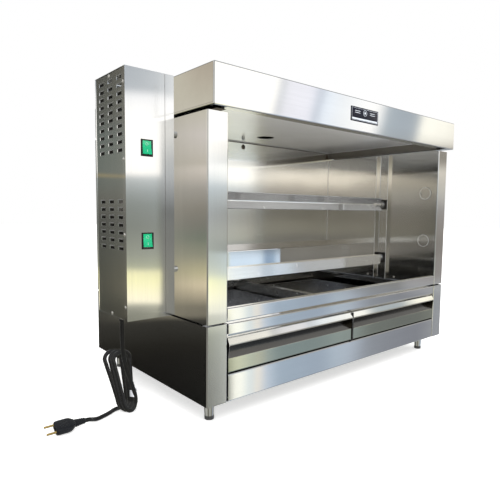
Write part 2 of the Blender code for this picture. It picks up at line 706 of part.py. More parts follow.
def switches(chassis):
    """Two rocker switches: the body clips into the cover, and the rocker tilts on a cross pin."""
    bezel, housing, well = (0.0126, 0.01635), (0.0107, 0.0147), (0.0097, 0.0142)
    for name, z in zip(("upper", "lower"), SWITCH_HEIGHTS):
        body = box((SWITCH_X - bezel[0], MOTOR_Y - 0.0023, z - bezel[1]),
                   (SWITCH_X + bezel[0], MOTOR_Y - GAP, z + bezel[1]))
        join(body, box((SWITCH_X - housing[0], MOTOR_Y - 0.001, z - housing[1]),
                       (SWITCH_X + housing[0], MOTOR_Y + 0.020, z + housing[1])))
        cut(body, box((SWITCH_X - well[0], MOTOR_Y - 0.01, z - well[1]),
                      (SWITCH_X + well[0], MOTOR_Y + 0.012, z + well[1])))
        piece("switch_body_" + name, body, BLACK_PLASTIC, chassis)

        axis = frame("rocker_axis_" + name, (SWITCH_X, MOTOR_Y + ROCKER_PIVOT, z))
        outline = [(-0.0075, 0.0130), (0.0028, 0.0125), (0.0050, 0.0), (0.0028, -0.0125),
                   (-0.0075, -0.0130), (-0.0064, -0.006), (-0.0060, 0.0), (-0.0064, 0.006)]
        tilt = Matrix.Rotation(math.radians(-ROCKER_TILT), 2)
        places = [tilt @ Vector(corner) for corner in outline]
        rocker = prism([(MOTOR_Y + ROCKER_PIVOT + p.x, z + p.y) for p in places], "X",
                       SWITCH_X - 0.0092, SWITCH_X + 0.0092)
        piece("rocker_" + name, rocker, GREEN_PLASTIC, axis)


def motors(chassis):
    """A gear motor on the tray behind each drive socket, and the block that the cord is wired to."""
    back = LEFT - MOTOR_STANDOFF - SHEET - 2 * GAP
    for name, z in zip(("upper", "lower"), SPIT_HEIGHTS):
        gearbox = box((back - 0.030, SPIT_Y - 0.030, z - 0.035), (back, SPIT_Y + 0.030, z + 0.035))
        join(gearbox, rod("X", SPIT_Y, z - 0.006, 0.024, back - 0.072, back - 0.029, 20))
        piece("gear_motor_" + name, gearbox, CAST, chassis)
    piece("terminal_block", box((back - 0.018, FRONT + 0.160, 0.239), (back, FRONT + 0.215, 0.253)),
          WHITE_PLASTIC, chassis)


def cord_gland(chassis):
    """The strain relief through the bottom of the motor cover."""
    bottom, collar = GLAND_BOTTOM, MOTOR_BOTTOM - GAP
    tip, shoulder, flange, body = 0.0066, 0.0090, 0.0105, 0.0080
    flange_bottom, top = collar - 0.006, MOTOR_BOTTOM + 0.011
    profile = [(0, bottom), (tip, bottom), (shoulder, flange_bottom), (flange, flange_bottom),
               (flange, collar), (body, collar), (body, top), (0, top)]
    piece("cord_gland", turned(profile, "Z", GLAND_X, GLAND_Y, 20), BLACK_PLASTIC, chassis)


# Cord


def tube(name, route, radius, holder):
    """A cord's stretch: a smooth curve through the route, with closed ends."""
    places = [Vector(place) for place in route]
    samples = []
    for i in range(len(places) - 1):
        before, start = places[max(i - 1, 0)], places[i]
        end, after = places[i + 1], places[min(i + 2, len(places) - 1)]
        slope = end - before
        bend = 2 * before - 5 * start + 4 * end - after
        twist = 3 * start - before - 3 * end + after
        for step in range(3):
            t = step / 3
            samples.append(start + (slope * t + bend * t ** 2 + twist * t ** 3) / 2)
    samples.append(places[-1])
    curve = bpy.data.curves.new(name, "CURVE")
    curve.dimensions = "3D"
    curve.bevel_depth = radius
    curve.bevel_resolution = 3
    curve.use_fill_caps = True
    line = curve.splines.new("POLY")
    line.points.add(len(samples) - 1)
    for spot, place in zip(line.points, samples):
        spot.co = (*(place - holder.location), 1)
    body = bpy.data.objects.new(name, curve)
    bpy.context.scene.collection.objects.link(body)
    body.parent = holder
    curve.materials.append(finish(name, RUBBER))


def cord():
    """The free cord: a drop from the gland, a tied hank standing on the surface, a tail and its plug.

    The flat plug lies rolled on one edge.
    """
    holder = frame("cord_frame", (GLAND_X, GLAND_Y, 0))
    top = GLAND_BOTTOM - GAP
    tube("cord_drop", [(GLAND_X, GLAND_Y, top), (GLAND_X, GLAND_Y, top - 0.020),
                       (GLAND_X + 0.001, GLAND_Y, top - 0.040),
                       (GLAND_X + 0.002, GLAND_Y, BUNDLE_HEIGHT + GAP)], CORD_DIAMETER / 2, holder)

    radius = BUNDLE_WIDTH / 2
    outline = []
    for middle, first in ((BUNDLE_HEIGHT - radius, 0), (radius, 180)):
        for degrees in range(first, first + 181, 20):
            angle = math.radians(degrees)
            outline.append((BUNDLE_X + radius * math.cos(angle), middle + radius * math.sin(angle)))
    hank = prism(outline, "Y", BUNDLE_Y - BUNDLE_THICKNESS / 2, BUNDLE_Y + BUNDLE_THICKNESS / 2)
    piece("cord_bundle", hank, RUBBER, holder)

    side = BUNDLE_X + radius + GAP
    tie = box((side, BUNDLE_Y - 0.009, 0.030), (side + 0.003, BUNDLE_Y + 0.009, 0.050))
    piece("cord_tie", tie, WHITE_PLASTIC, holder)

    rest, lifted = CORD_REST, (CORD_REST + PLUG_Z) / 2
    tube("cord_tail", [(LEFT - 0.1125, FRONT + 0.203, rest), (LEFT - 0.118, FRONT + 0.200, rest),
                       (LEFT - 0.126, FRONT + 0.196, rest), (LEFT - 0.137, FRONT + 0.192, rest),
                       (LEFT - 0.149, FRONT + 0.188, rest + 0.0005), (LEFT - 0.162, FRONT + 0.1835, lifted),
                       (PLUG_X + 0.008, PLUG_Y, PLUG_Z), (PLUG_X + 0.004, PLUG_Y, PLUG_Z),
                       (PLUG_X + 2 * GAP, PLUG_Y, PLUG_Z)], CORD_DIAMETER / 2, holder)

    (half_y, half_z), neck, relief = PLUG_HALF_SIZE, 0.0060, 0.022
    end = PLUG_X - PLUG_LENGTH
    side = [(PLUG_X, neck), (PLUG_X - relief, neck + 0.001),
            (PLUG_X - relief - 0.010, half_y), (end, half_y)]
    outline = [(x, PLUG_Y + y) for x, y in side] + [(x, PLUG_Y - y) for x, y in side[::-1]]
    body = prism(outline, "Z", PLUG_Z - half_z, PLUG_Z + half_z)
    for y in (PLUG_Y - PLUG_PIN_SPREAD, PLUG_Y + PLUG_PIN_SPREAD):
        join(body, rod("X", y, PLUG_Z, PLUG_PIN_RADIUS, end - PLUG_PIN_LENGTH, end + 0.002, 12))
    centre = Matrix.Translation((PLUG_X, PLUG_Y, PLUG_Z))
    roll = Matrix.Rotation(math.radians(PLUG_ROLL), 4, "X")
    body.data.transform(centre @ roll @ centre.inverted())
    piece("plug", body, BLACK_PLASTIC, holder)


def build():
    for old in list(bpy.data.objects):
        bpy.data.objects.remove(old)
    chassis = frame("chassis")
    base_sides(chassis)
    base_panels(chassis)
    base_rails(chassis)
    feet(chassis)
    drawers()
    side_skins(chassis)
    inner_walls(chassis)
    back_walls(chassis)
    front_ledge(chassis)
    canopy(chassis)
    ceiling(chassis)
    name_plate(chassis)
    burner(chassis)
    spit_post(chassis)
    spits()
    port_covers()
    motor_box(chassis)
    switches(chassis)
    motors(chassis)
    cord_gland(chassis)
    cord()


build()
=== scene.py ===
"""The look of the rotisserie oven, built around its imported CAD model. Metres, +Z up."""

import math

import bmesh
import bpy
from mathutils import Matrix, Vector


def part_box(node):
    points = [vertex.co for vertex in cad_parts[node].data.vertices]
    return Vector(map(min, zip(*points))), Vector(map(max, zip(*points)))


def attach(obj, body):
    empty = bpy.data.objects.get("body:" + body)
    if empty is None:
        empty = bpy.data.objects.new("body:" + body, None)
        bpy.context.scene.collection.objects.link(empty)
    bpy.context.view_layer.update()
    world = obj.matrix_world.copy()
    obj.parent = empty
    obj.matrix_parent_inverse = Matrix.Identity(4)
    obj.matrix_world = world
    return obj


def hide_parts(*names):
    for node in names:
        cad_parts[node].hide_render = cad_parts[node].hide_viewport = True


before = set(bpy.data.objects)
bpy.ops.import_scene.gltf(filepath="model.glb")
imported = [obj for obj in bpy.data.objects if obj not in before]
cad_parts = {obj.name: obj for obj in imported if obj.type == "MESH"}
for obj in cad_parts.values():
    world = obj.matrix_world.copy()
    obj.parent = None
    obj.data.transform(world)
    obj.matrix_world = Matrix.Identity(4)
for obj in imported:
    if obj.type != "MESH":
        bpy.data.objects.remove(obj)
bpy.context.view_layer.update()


scene = bpy.context.scene

# Planes of the model, read from its own pieces
LEFT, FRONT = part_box("left_side_skin")[0][:2]
CENTRE = (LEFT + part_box("right_side_skin")[1][0]) / 2
CAVITY_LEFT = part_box("inner_left_wall")[1][0]
CAVITY_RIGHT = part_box("inner_right_wall")[0][0]
CAVITY_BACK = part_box("cavity_back_wall")[0][1]
SKIRT_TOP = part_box("ceiling_panel")[1][2]
BAFFLE_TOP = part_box("burner_baffle")[1][2]
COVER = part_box("motor_cover")
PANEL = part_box("louvred_panel")
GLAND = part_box("cord_gland")
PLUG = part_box("plug")
UP, TO_LEFT, TO_RIGHT, TO_FRONT, TO_BACK = (0, 0, 1), (-1, 0, 0), (1, 0, 0), (0, -1, 0), (0, 1, 0)
LEVELS = ("upper", "lower")


def middle(name):
    """The middle of a CAD node's box."""
    low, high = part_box(name)
    return (low + high) / 2


# Camera

CAMERA_PLACE = (-0.91606, -0.99999, 0.44196)
CAMERA_YAW, CAMERA_PITCH, CAMERA_ROLL = 40.226, 4.687, 0.5498
CAMERA_LENS = 33.608


def look_from(place, yaw, pitch, roll):
    """A matrix for a camera that looks along a yaw from +Y towards +X and a pitch downwards."""
    yaw, pitch, roll = (math.radians(angle) for angle in (yaw, pitch, roll))
    ahead = Vector((math.sin(yaw) * math.cos(pitch), math.cos(yaw) * math.cos(pitch), -math.sin(pitch)))
    level = Vector((math.cos(yaw), -math.sin(yaw), 0))
    above = level.cross(ahead)
    right = level * math.cos(roll) + above * math.sin(roll)
    up = above * math.cos(roll) - level * math.sin(roll)
    turned_view = Matrix((right, up, -ahead)).transposed().to_4x4()
    return Matrix.Translation(place) @ turned_view


eye = bpy.data.objects.new("camera", bpy.data.cameras.new("camera"))
scene.collection.objects.link(eye)
eye.data.sensor_width = 36
eye.data.lens = CAMERA_LENS
eye.data.clip_start = 0.02
eye.matrix_world = look_from(CAMERA_PLACE, CAMERA_YAW, CAMERA_PITCH, CAMERA_ROLL)
scene.camera = eye


# Node graphs

METAL_SHARE = 0.80
STUDIO_GAIN = 1.5


def linear(value):
    """A displayed tone as the linear one that the shaders take."""
    return value / 12.92 if value <= 0.04045 else ((value + 0.055) / 1.055) ** 2.4


def tone(*parts):
    """A studio colour, in per cent.

    Three parts are the red, green and blue that bright steel shows on the screen. Four parts are a light's
    strength, red, green and blue, and a strength of 100 shows as plain white.
    """
    shares = [part / 100 for part in parts]
    if len(shares) == 4:
        values = [shares[0] * value for value in shares[1:]]
    else:
        values = [linear(value) for value in shares]
    return tuple(min(value / METAL_SHARE / STUDIO_GAIN, 1.0) for value in values)


class Graph:
    """Short ways to add nodes to a tree; any input may be a number, a colour or another node's socket."""

    def __init__(self, tree):
        self.tree = tree

    def node(self, kind, inputs=(), **settings):
        made = self.tree.nodes.new(kind)
        for name, value in settings.items():
            setattr(made, name, value)
        for key, value in dict(inputs).items():
            self.feed(made.inputs[key], value)
        return made

    def feed(self, socket, value):
        if isinstance(value, bpy.types.NodeSocket):
            self.tree.links.new(value, socket)
        elif value is not None:
            socket.default_value = value

    def math(self, operation, first, second=None):
        made = self.node("ShaderNodeMath", operation=operation)
        self.feed(made.inputs[0], first)
        self.feed(made.inputs[1], second)
        return made.outputs[0]

    def span(self, value, low, high, to_low=0.0, to_high=1.0, smooth=False):
        """The share of the way from low to high, held at both ends."""
        made = self.node("ShaderNodeMapRange", {
            "Value": value, "From Min": low, "From Max": high, "To Min": to_low, "To Max": to_high})
        made.interpolation_type = "SMOOTHSTEP" if smooth else "LINEAR"
        return made.outputs[0]

    def ease(self, value, low, high):
        """The same share, with a soft start and end."""
        return self.span(value, low, high, smooth=True)

    def ramp(self, value, stops):
        """Colours along a value, given as (value, colour) in rising order."""
        low, high = stops[0][0], stops[-1][0]
        made = self.node("ShaderNodeValToRGB", {"Fac": self.span(value, low, high)})
        elements = made.color_ramp.elements
        while len(elements) < len(stops):
            elements.new(1.0)
        for element, (place, colour) in zip(elements, stops):
            element.position = (place - low) / (high - low)
        for element, (place, colour) in zip(elements, stops):
            element.color = (*colour, 1)
        return made.outputs[0]

    def band(self, angle, stops):
        """Studio tones along an angle, given as (degrees, *parts of the tone)."""
        return self.ramp(angle, [(degrees, tone(*parts)) for degrees, *parts in stops])

    def mix(self, share, first, second, kind="MIX"):
        made = self.node("ShaderNodeMix", data_type="RGBA", blend_type=kind)
        for socket, value in zip((made.inputs[0], made.inputs[6], made.inputs[7]), (share, first, second)):
            self.feed(socket, (*value, 1) if isinstance(value, tuple) and len(value) == 3 else value)
        return made.outputs[2]

    def noise(self, place, scale, stretch=(1, 1, 1), detail=3.0, rough=0.55, warp=0.0):
        moved = self.node("ShaderNodeMapping", {"Vector": place, "Scale": stretch})
        made = self.node("ShaderNodeTexNoise", {
            "Vector": moved.outputs[0], "Scale": scale, "Detail": detail, "Roughness": rough,
            "Distortion": warp})
        return made.outputs["Fac"]


def material(name, **fixed):
    """A material with its shader's own sockets set, and its graph."""
    made = bpy.data.materials.new(name)
    made.use_nodes = True
    shader = made.node_tree.nodes["Principled BSDF"]
    for key, value in fixed.items():
        shader.inputs[key.replace("_", " ")].default_value = value
    return made, Graph(made.node_tree), shader


# Studio: what the metal reflects, by azimuth from the front towards +X and by elevation, both in degrees

def level_with_cavity(g, azimuth, elevation):
    """What the cavity's back wall, its baffle and the right pillar show."""
    cavity_left = g.band(elevation, [
        (-20, 45, 45, 44), (-4.4, 40, 41, 42), (-3.6, 48, 48, 47), (-3, 62, 61, 56), (-1.8, 61, 59, 54),
        (-1.2, 55, 54, 49), (-0.4, 50, 48, 43), (0.1, 52, 51, 46), (0.8, 62, 61, 58), (1.8, 72, 72, 71),
        (2.7, 78, 79, 79), (3.2, 95, 95, 93), (3.7, 120, 100, 99, 93), (5.3, 120, 100, 99, 93),
        (5.7, 74, 75, 73), (6.4, 74, 74, 72), (7.2, 86, 84, 79), (20, 60, 59, 55)])
    cavity_right = g.band(elevation, [
        (-20, 40, 40, 38), (-3.6, 34, 34, 33), (-2.8, 46, 46, 42), (-1.9, 52, 52, 47), (-1.2, 49, 47, 43),
        (-0.4, 42, 41, 37), (0.1, 36, 35, 32), (0.8, 55, 54, 53), (1.8, 74, 73, 72), (2.8, 72, 69, 64),
        (3.6, 82, 79, 73), (4.3, 97, 93, 86), (4.9, 93, 91, 87), (5.4, 58, 56, 50), (6.2, 57, 56, 48),
        (7.2, 56, 54, 49), (20, 50, 49, 45)])
    cavity = g.mix(g.ease(azimuth, 39.5, 46.5), cavity_left, cavity_right)
    strip = g.band(azimuth, [
        (30, 84, 91, 97), (41.3, 84, 91, 97), (42, 55, 64, 74), (43, 60, 69, 78), (43.6, 78, 85, 92),
        (45.2, 74, 80, 86), (46, 50, 52, 54), (47.2, 54, 54, 53), (80, 44, 44, 42)])
    cavity = g.mix(g.span(elevation, -4.6, -4.9), cavity, strip)
    post = g.band(elevation, [
        (-20, 56, 55, 54), (-10, 64, 64, 65), (-8.5, 66, 67, 68), (-6.8, 56, 54, 53), (-3, 54, 52, 50),
        (-1.2, 56, 54, 53), (0.7, 63, 62, 61), (2.6, 74, 73, 70), (4.5, 78, 76, 72), (6, 55, 53, 50),
        (20, 62, 60, 57)])
    return g.mix(g.ease(azimuth, 57.5, 59.5), cavity, post)


def ahead_of_front(g, azimuth, elevation):
    """What the faces turned to the front show, from the motor box on the left to the right pillar."""
    motor = g.band(elevation, [
        (-40, 44, 43, 40), (-20, 48, 48, 44), (-12.6, 51, 51, 46), (-11.5, 62, 62, 57),
        (-11, 110, 100, 93, 72), (-8, 100, 100, 96, 56), (-7.2, 95, 100, 95, 58), (-6.6, 67, 68, 59),
        (-5, 59, 60, 55), (-2, 50, 51.5, 48.5), (0.8, 53, 55, 53), (2.2, 60, 62, 61), (4, 72, 74, 74),
        (4.6, 115, 100, 97, 92), (9.5, 115, 100, 98.5, 95), (12.6, 95, 100, 100, 102), (13.4, 69, 71.5, 74),
        (25, 62, 65, 69), (40, 75, 76, 78)])
    # The left pillar and all to its right, up to the canopy
    pillar = g.band(elevation, [
        (-40, 26, 26, 24), (-21, 34, 35, 32), (-17.6, 43, 44.5, 39), (-15.4, 52, 54, 47), (-14, 77, 78, 70),
        (-12.9, 80, 80, 74), (-12.2, 110, 100, 98, 80), (-8.4, 110, 100, 98, 52), (-7.4, 79, 81, 73),
        (-4.4, 72.5, 75, 72), (-0.8, 71, 73, 74), (1.7, 74, 78, 80), (2.9, 79, 84, 87),
        (4.4, 100, 95, 98, 100), (8, 120, 100, 99, 97), (40, 110, 100, 99, 96)])
    low = g.band(azimuth, [
        (30, 105, 100, 100, 90), (39.2, 105, 100, 100, 90), (39.9, 86, 90, 90), (40.4, 80, 86, 90),
        (41, 98, 93, 85), (42.2, 75, 80, 86), (44, 63, 69, 75), (49, 60, 65, 71), (50.6, 68, 73, 78),
        (52.4, 68, 72, 77), (55, 55, 57, 60), (60, 50, 51, 54), (64, 62, 63, 64), (80, 60, 60, 60)])
    beside = g.mix(g.ease(elevation, -9.6, -8.2), low, level_with_cavity(g, azimuth, elevation))
    beside = g.mix(g.ease(azimuth, 37.4, 38.0), pillar, beside)
    ahead = g.mix(g.ease(azimuth, 31, 33.5), motor, beside)
    # The canopy's front, whose bands lean
    lean = g.math("SUBTRACT", azimuth, g.math("MULTIPLY", g.math("SUBTRACT", elevation, 12.0), 0.22))
    canopy = g.band(lean, [
        (30, 115, 100, 98, 93), (42.4, 115, 100, 98, 94), (43.1, 84, 85, 87), (43.5, 84, 85, 87),
        (44.2, 94, 94, 97), (47.4, 95, 95, 98.5), (48, 78, 81, 86), (48.4, 78, 81, 86), (49, 93, 96, 100),
        (51, 95, 95, 98, 102), (54.9, 110, 100, 99, 97), (56.2, 66, 70, 73.5), (60, 64, 67.5, 71),
        (60.9, 110, 100, 98, 88), (63, 100, 100, 98, 88), (66, 93, 90, 86), (80, 80, 78, 75)])
    over_opening = g.math("ADD", elevation, g.math("MULTIPLY", g.math("SUBTRACT", azimuth, 38), 0.045))
    high = g.math("MULTIPLY", g.ease(over_opening, 8.3, 8.9), g.span(azimuth, 35.4, 36.4))
    ahead = g.mix(high, ahead, canopy)
    return g.mix(g.ease(elevation, 19, 25), ahead, tone(60, 60, 60))


def behind_left(g, azimuth, elevation):
    """What the motor box's side and the base's side show, and then the upper skin."""
    side = g.band(elevation, [
        (-40, 5, 5, 5), (-22, 6, 6, 5.5), (-17.4, 10, 9.5, 8.5), (-16.2, 12.5, 12, 10.5),
        (-15, 16.5, 16, 14.5), (-13, 20.5, 20, 18.5), (-10.3, 25, 25.5, 23.5), (-5.6, 28, 28.5, 26.5),
        (-0.9, 31, 31, 29.5), (1.4, 38, 38, 35.5), (3.9, 37.5, 40, 38), (4.1, 60, 54, 38),
        (4.3, 37.5, 40, 38), (6.1, 36, 39, 37), (8.5, 31, 34.5, 33.5), (10.8, 25, 26.5, 25.5),
        (16, 22, 22.5, 21.5), (18, 30, 30, 28), (40, 50, 49, 46)])
    skin_left = g.band(elevation, [
        (-40, 50, 49, 44), (-11.5, 57, 55, 48), (-9.2, 65, 62, 54), (-3, 60, 59, 55), (1.2, 63, 62, 58),
        (7, 75, 73, 68), (12, 75, 73, 67), (40, 68, 65, 58)])
    skin_right = g.band(elevation, [
        (-40, 40, 38, 34), (-11.6, 45, 43, 38), (-10.6, 66, 62, 53), (-8.9, 88, 82, 69), (-7.4, 76, 73, 58),
        (-5.4, 57, 57, 49), (-3.2, 42, 45.5, 40), (-1.6, 45, 44.5, 41), (0.2, 50, 48, 44),
        (2.6, 62, 60, 57), (4.9, 84, 80, 76), (5.6, 74, 71, 66), (9, 82, 79, 77), (12, 76, 74, 68),
        (17, 68, 64, 58), (40, 62, 59, 53)])
    skin = g.mix(g.ease(azimuth, -149.0, -146.6), skin_left, skin_right)
    skin_share = g.math("MULTIPLY", g.span(azimuth, -152.4, -151.6), g.span(elevation, -13.3, -12.7))
    return g.mix(skin_share, side, skin)


def rest_of_room(g, azimuth, elevation):
    """Soft bands all round, and what the cavity's right wall and its post show by way of the back wall."""
    sweep = g.math("SINE", g.math("RADIANS", g.math("MULTIPLY", azimuth, 4.0)))
    room = g.band(elevation, [
        (-90, 62, 61, 58), (-25, 60, 60, 57), (-6, 56, 56, 54), (0, 50, 51, 51), (4, 72, 74, 76),
        (9, 100, 100, 99, 97), (20, 86, 87, 88), (50, 80, 81, 82), (90, 74, 75, 76)])
    room = g.mix(g.span(sweep, 0.2, 0.8, 0.0, 0.55, smooth=True), room, tone(55, 58, 62))
    wall_back = g.band(elevation, [
        (-20, 40, 39, 35), (-5.6, 52, 51, 50), (-4.2, 55, 54, 51), (-3.5, 33, 33, 32), (-2.8, 46, 45, 42),
        (-2.1, 55, 54, 49), (-1.4, 52, 51, 46), (-0.7, 45, 43, 39), (0, 39, 38, 34), (0.7, 45, 43, 40),
        (1.4, 57, 54, 51), (2.1, 64, 61, 58), (2.8, 78, 75, 70), (3.4, 93, 89, 83), (4, 120, 100, 93, 82),
        (4.9, 100, 100, 94, 85), (5.3, 56, 53, 47), (6.4, 58, 55, 48), (20, 50, 48, 42)])
    wall_side = g.band(elevation, [
        (-20, 40, 39, 35), (-7, 44, 43, 38), (-5, 50, 49, 46), (-4.2, 55, 53, 50), (-3.5, 47, 46, 44),
        (-2.8, 40, 39, 37), (-1.4, 43, 42, 39), (0, 40, 39, 35), (0.7, 46, 45, 41), (1.4, 55, 53, 49),
        (2.1, 67, 66, 62), (2.8, 84, 81, 76), (3.5, 95, 91, 85), (4.2, 93, 90, 84), (4.9, 72, 70, 64),
        (5.6, 63, 61, 55), (6.4, 59, 57, 53), (20, 44, 42, 38)])
    wall = g.mix(g.ease(azimuth, -49.0, -55.0), wall_back, wall_side)
    through_wall = g.math("MULTIPLY", g.span(azimuth, -85, -78), g.span(azimuth, -35, -42))
    return g.mix(through_wall, room, wall)


def studio():
    """A world that lights evenly, shows the bands above to mirrors only, and is white to the camera."""
    world = bpy.data.worlds.new("studio")
    scene.world = world
    world.use_nodes = True
    world.node_tree.nodes.clear()
    g = Graph(world.node_tree)
    way = g.node("ShaderNodeTexCoord").outputs["Generated"]
    x, y, z = g.node("ShaderNodeSeparateXYZ", {0: way}).outputs
    azimuth = g.math("DEGREES", g.math("ARCTAN2", x, g.math("MULTIPLY", y, -1)))
    elevation = g.math("DEGREES", g.math("ARCSINE", z))
    near_front = g.math("MULTIPLY", g.ease(azimuth, 8, 18), g.ease(azimuth, 92, 78))
    near_left = g.math("MULTIPLY", g.ease(azimuth, -130, -136), g.ease(azimuth, -176, -169))
    shown = g.mix(near_front, rest_of_room(g, azimuth, elevation), ahead_of_front(g, azimuth, elevation))
    shown = g.mix(near_left, shown, behind_left(g, azimuth, elevation))

    ray = g.node("ShaderNodeLightPath").outputs
    mirrored = g.node("ShaderNodeBackground", {"Color": shown, "Strength": STUDIO_GAIN}).outputs[0]
    soft = g.node("ShaderNodeBackground", {"Color": (1, 0.995, 0.98, 1), "Strength": 1.08}).outputs[0]
    white = g.node("ShaderNodeBackground", {"Color": (1, 1, 1, 1), "Strength": 1.0}).outputs[0]
    lit = g.node("ShaderNodeMixShader", {0: ray["Is Glossy Ray"], 1: soft, 2: mirrored}).outputs[0]
    final = g.node("ShaderNodeMixShader", {0: ray["Is Camera Ray"], 1: lit, 2: white}).outputs[0]
    g.node("ShaderNodeOutputWorld", {"Surface": final})


def area_light(name, place, target, size, power):
    """A round soft light that mirrors and the camera don't see."""
    lamp = bpy.data.objects.new(name, bpy.data.lights.new(name, "AREA"))
    scene.collection.objects.link(lamp)
    lamp.data.shape = "DISK"
    lamp.data.size = size
    lamp.data.energy = power
    lamp.location = place
    lamp.rotation_euler = (Vector(target) - Vector(place)).to_track_quat("-Z", "Y").to_euler()
    lamp.visible_camera = False
    lamp.visible_glossy = False


def floor():
    """A plain pale floor that mirrors don't show."""
    shape = bmesh.new()
    bmesh.ops.create_circle(shape, cap_ends=True, segments=64, radius=14)
    mesh = bpy.data.meshes.new("floor")
    shape.to_mesh(mesh)
    shape.free()
    ground = bpy.data.objects.new("floor", mesh)
    scene.collection.objects.link(ground)
    look, _, _ = material("floor_paint", Base_Color=(0.93, 0.93, 0.925, 1), Roughness=0.9,
                          Specular_IOR_Level=0.0, Emission_Color=(1, 1, 1, 1), Emission_Strength=0.50)
    mesh.materials.append(look)
    ground.visible_glossy = False


studio()
area_light("key", (-1.6, -2.2, 2.6), (0, 0, 0.3), 2.0, 60)
area_light("fill", (2.4, -1.4, 2.0), (0, 0, 0.3), 2.0, 25)
floor()
scene.view_settings.view_transform = "Standard"


# Materials

# Directions that the brushing spreads a highlight along
UPRIGHT = (1.0, 1.0, 0.02)
LEVEL = (0.0, 0.02, 1.0)
ALONG_DEPTH = (0.02, 0.0, 1.0)
ALONG_SPIT = (0.0, 0.3, 0.95)


def brushed(name, colour, rough, grain, across, streaks=0.03, warp=1.0, stains=0.05, scratches=0.0,
            anisotropic=1.0, painted_light_by_height=None, metallic=1.0):
    """Rolled stainless sheet: fine grain, gentle waves, and faint patches and scratches.

    The colour may change with height instead, given as (height, colour) stops; such stops paint light and
    shade in bands by height.
    """
    made, g, shader = material(name, Metallic=metallic, Anisotropic=anisotropic)
    place = g.node("ShaderNodeTexCoord").outputs["Object"]
    fine = g.noise(place, 1.0, tuple(3.0 if axis in grain else 1400 for axis in "XYZ"), 3, 0.6)
    broad = g.noise(place, 1.0, tuple(0.8 if axis in grain else 60 for axis in "XYZ"), 2, 0.5)
    cloud = g.noise(place, 6.0, detail=3, rough=0.5)
    streak = g.math("ADD", g.math("MULTIPLY", fine, 0.7), g.math("MULTIPLY", broad, 0.3))
    streaked = g.span(streak, 0.35, 0.65, 1 - streaks, 1 + streaks)
    level = g.math("MULTIPLY", streaked, g.span(cloud, 0.35, 0.75, 1.0, 1.0 - stains))
    rough_value = g.span(streak, 0.3, 0.7, rough * 1.1, rough * 0.9)
    if scratches:
        turned_place = g.node("ShaderNodeMapping", {"Vector": place, "Rotation": (0.3, 0.5, 0.7)}).outputs[0]
        mark = g.span(g.noise(turned_place, 1.0, (420, 14, 60), 2, 0.5, 0.4), 0.70, 0.74)
        level = g.math("ADD", level, g.math("MULTIPLY", mark, scratches))
        rough_value = g.math("ADD", rough_value, g.math("MULTIPLY", mark, 0.2))
    # Painted light and shade: the colour is read from height bands in place of the sheet's own colour
    if painted_light_by_height:
        spot = g.node("ShaderNodeNewGeometry").outputs["Position"]
        colour = g.ramp(g.node("ShaderNodeSeparateXYZ", {0: spot}).outputs[2], painted_light_by_height)
    grey = g.node("ShaderNodeCombineColor", {0: level, 1: level, 2: level}).outputs[0]
    g.feed(shader.inputs["Base Color"], g.mix(1.0, colour, grey, "MULTIPLY"))
    g.feed(shader.inputs["Roughness"], rough_value)
    wave = g.noise(place, 3.2, detail=1, rough=0.4)
    waved = g.node("ShaderNodeBump", {"Height": wave, "Strength": 1.0, "Distance": 0.0016 * warp})
    grained = g.node("ShaderNodeBump", {
        "Height": fine, "Strength": 0.25, "Distance": 0.0005 * streaks, "Normal": waved.outputs[0]})
    tangent = g.node("ShaderNodeCombineXYZ", dict(enumerate(across)))
    g.feed(shader.inputs["Normal"], grained.outputs[0])
    g.feed(shader.inputs["Tangent"], tangent.outputs[0])
    return made


def worn(name, colour, metallic, rough, grit, depth, variation=0.25, **fixed):
    """A finish with mottled colour and roughness and a fine grit, for castings, plastics and coatings."""
    made, g, shader = material(name, Metallic=metallic, **fixed)
    place = g.node("ShaderNodeTexCoord").outputs["Object"]
    cloud = g.noise(place, grit, detail=4, rough=0.6)
    fine = g.noise(place, grit * 18, detail=2, rough=0.5)
    dark = tuple(value * (1 - variation) for value in colour)
    light = tuple(min(value * (1 + variation), 1.0) for value in colour)
    g.feed(shader.inputs["Base Color"], g.mix(g.span(cloud, 0.3, 0.7), dark, light))
    g.feed(shader.inputs["Roughness"], g.span(cloud, 0.3, 0.7, rough * 1.2, rough * 0.8))
    bump = g.node("ShaderNodeBump", {"Height": fine, "Strength": 0.5, "Distance": depth})
    g.feed(shader.inputs["Normal"], bump.outputs[0])
    return made


WHITE = (1.0, 1.0, 1.0)
STEEL = (0.80, 0.80, 0.79)
upright_steel = brushed("upright_steel", STEEL, 0.10, "Z", UPRIGHT)
level_steel = brushed("level_steel", STEEL, 0.085, "X", LEVEL, anisotropic=0.8)
cover_steel = brushed("cover_steel", STEEL, 0.10, "Z", UPRIGHT, warp=1.6)
# Painted light: the strip below the lip is painted olive as a painted reflection, and the recess under the
# lip is painted dark as painted shade; the lip keeps a plain steel tone
drawer_steel = brushed("drawer_steel", WHITE, 0.11, "X", LEVEL, stains=0.08, painted_light_by_height=[
    (0.1405, (0.50, 0.515, 0.415)), (0.1415, (0.30, 0.29, 0.27)), (0.1670, (0.22, 0.21, 0.20)),
    (0.1685, (0.80, 0.79, 0.73)), (0.184, (0.84, 0.83, 0.78))])
wall_steel = brushed("wall_steel", (0.80, 0.795, 0.77), 0.12, "Z", UPRIGHT, 0.02, stains=0.08)
back_steel = brushed("back_steel", (0.95, 0.94, 0.91), 0.11, "Z", UPRIGHT, 0.015, stains=0.06)
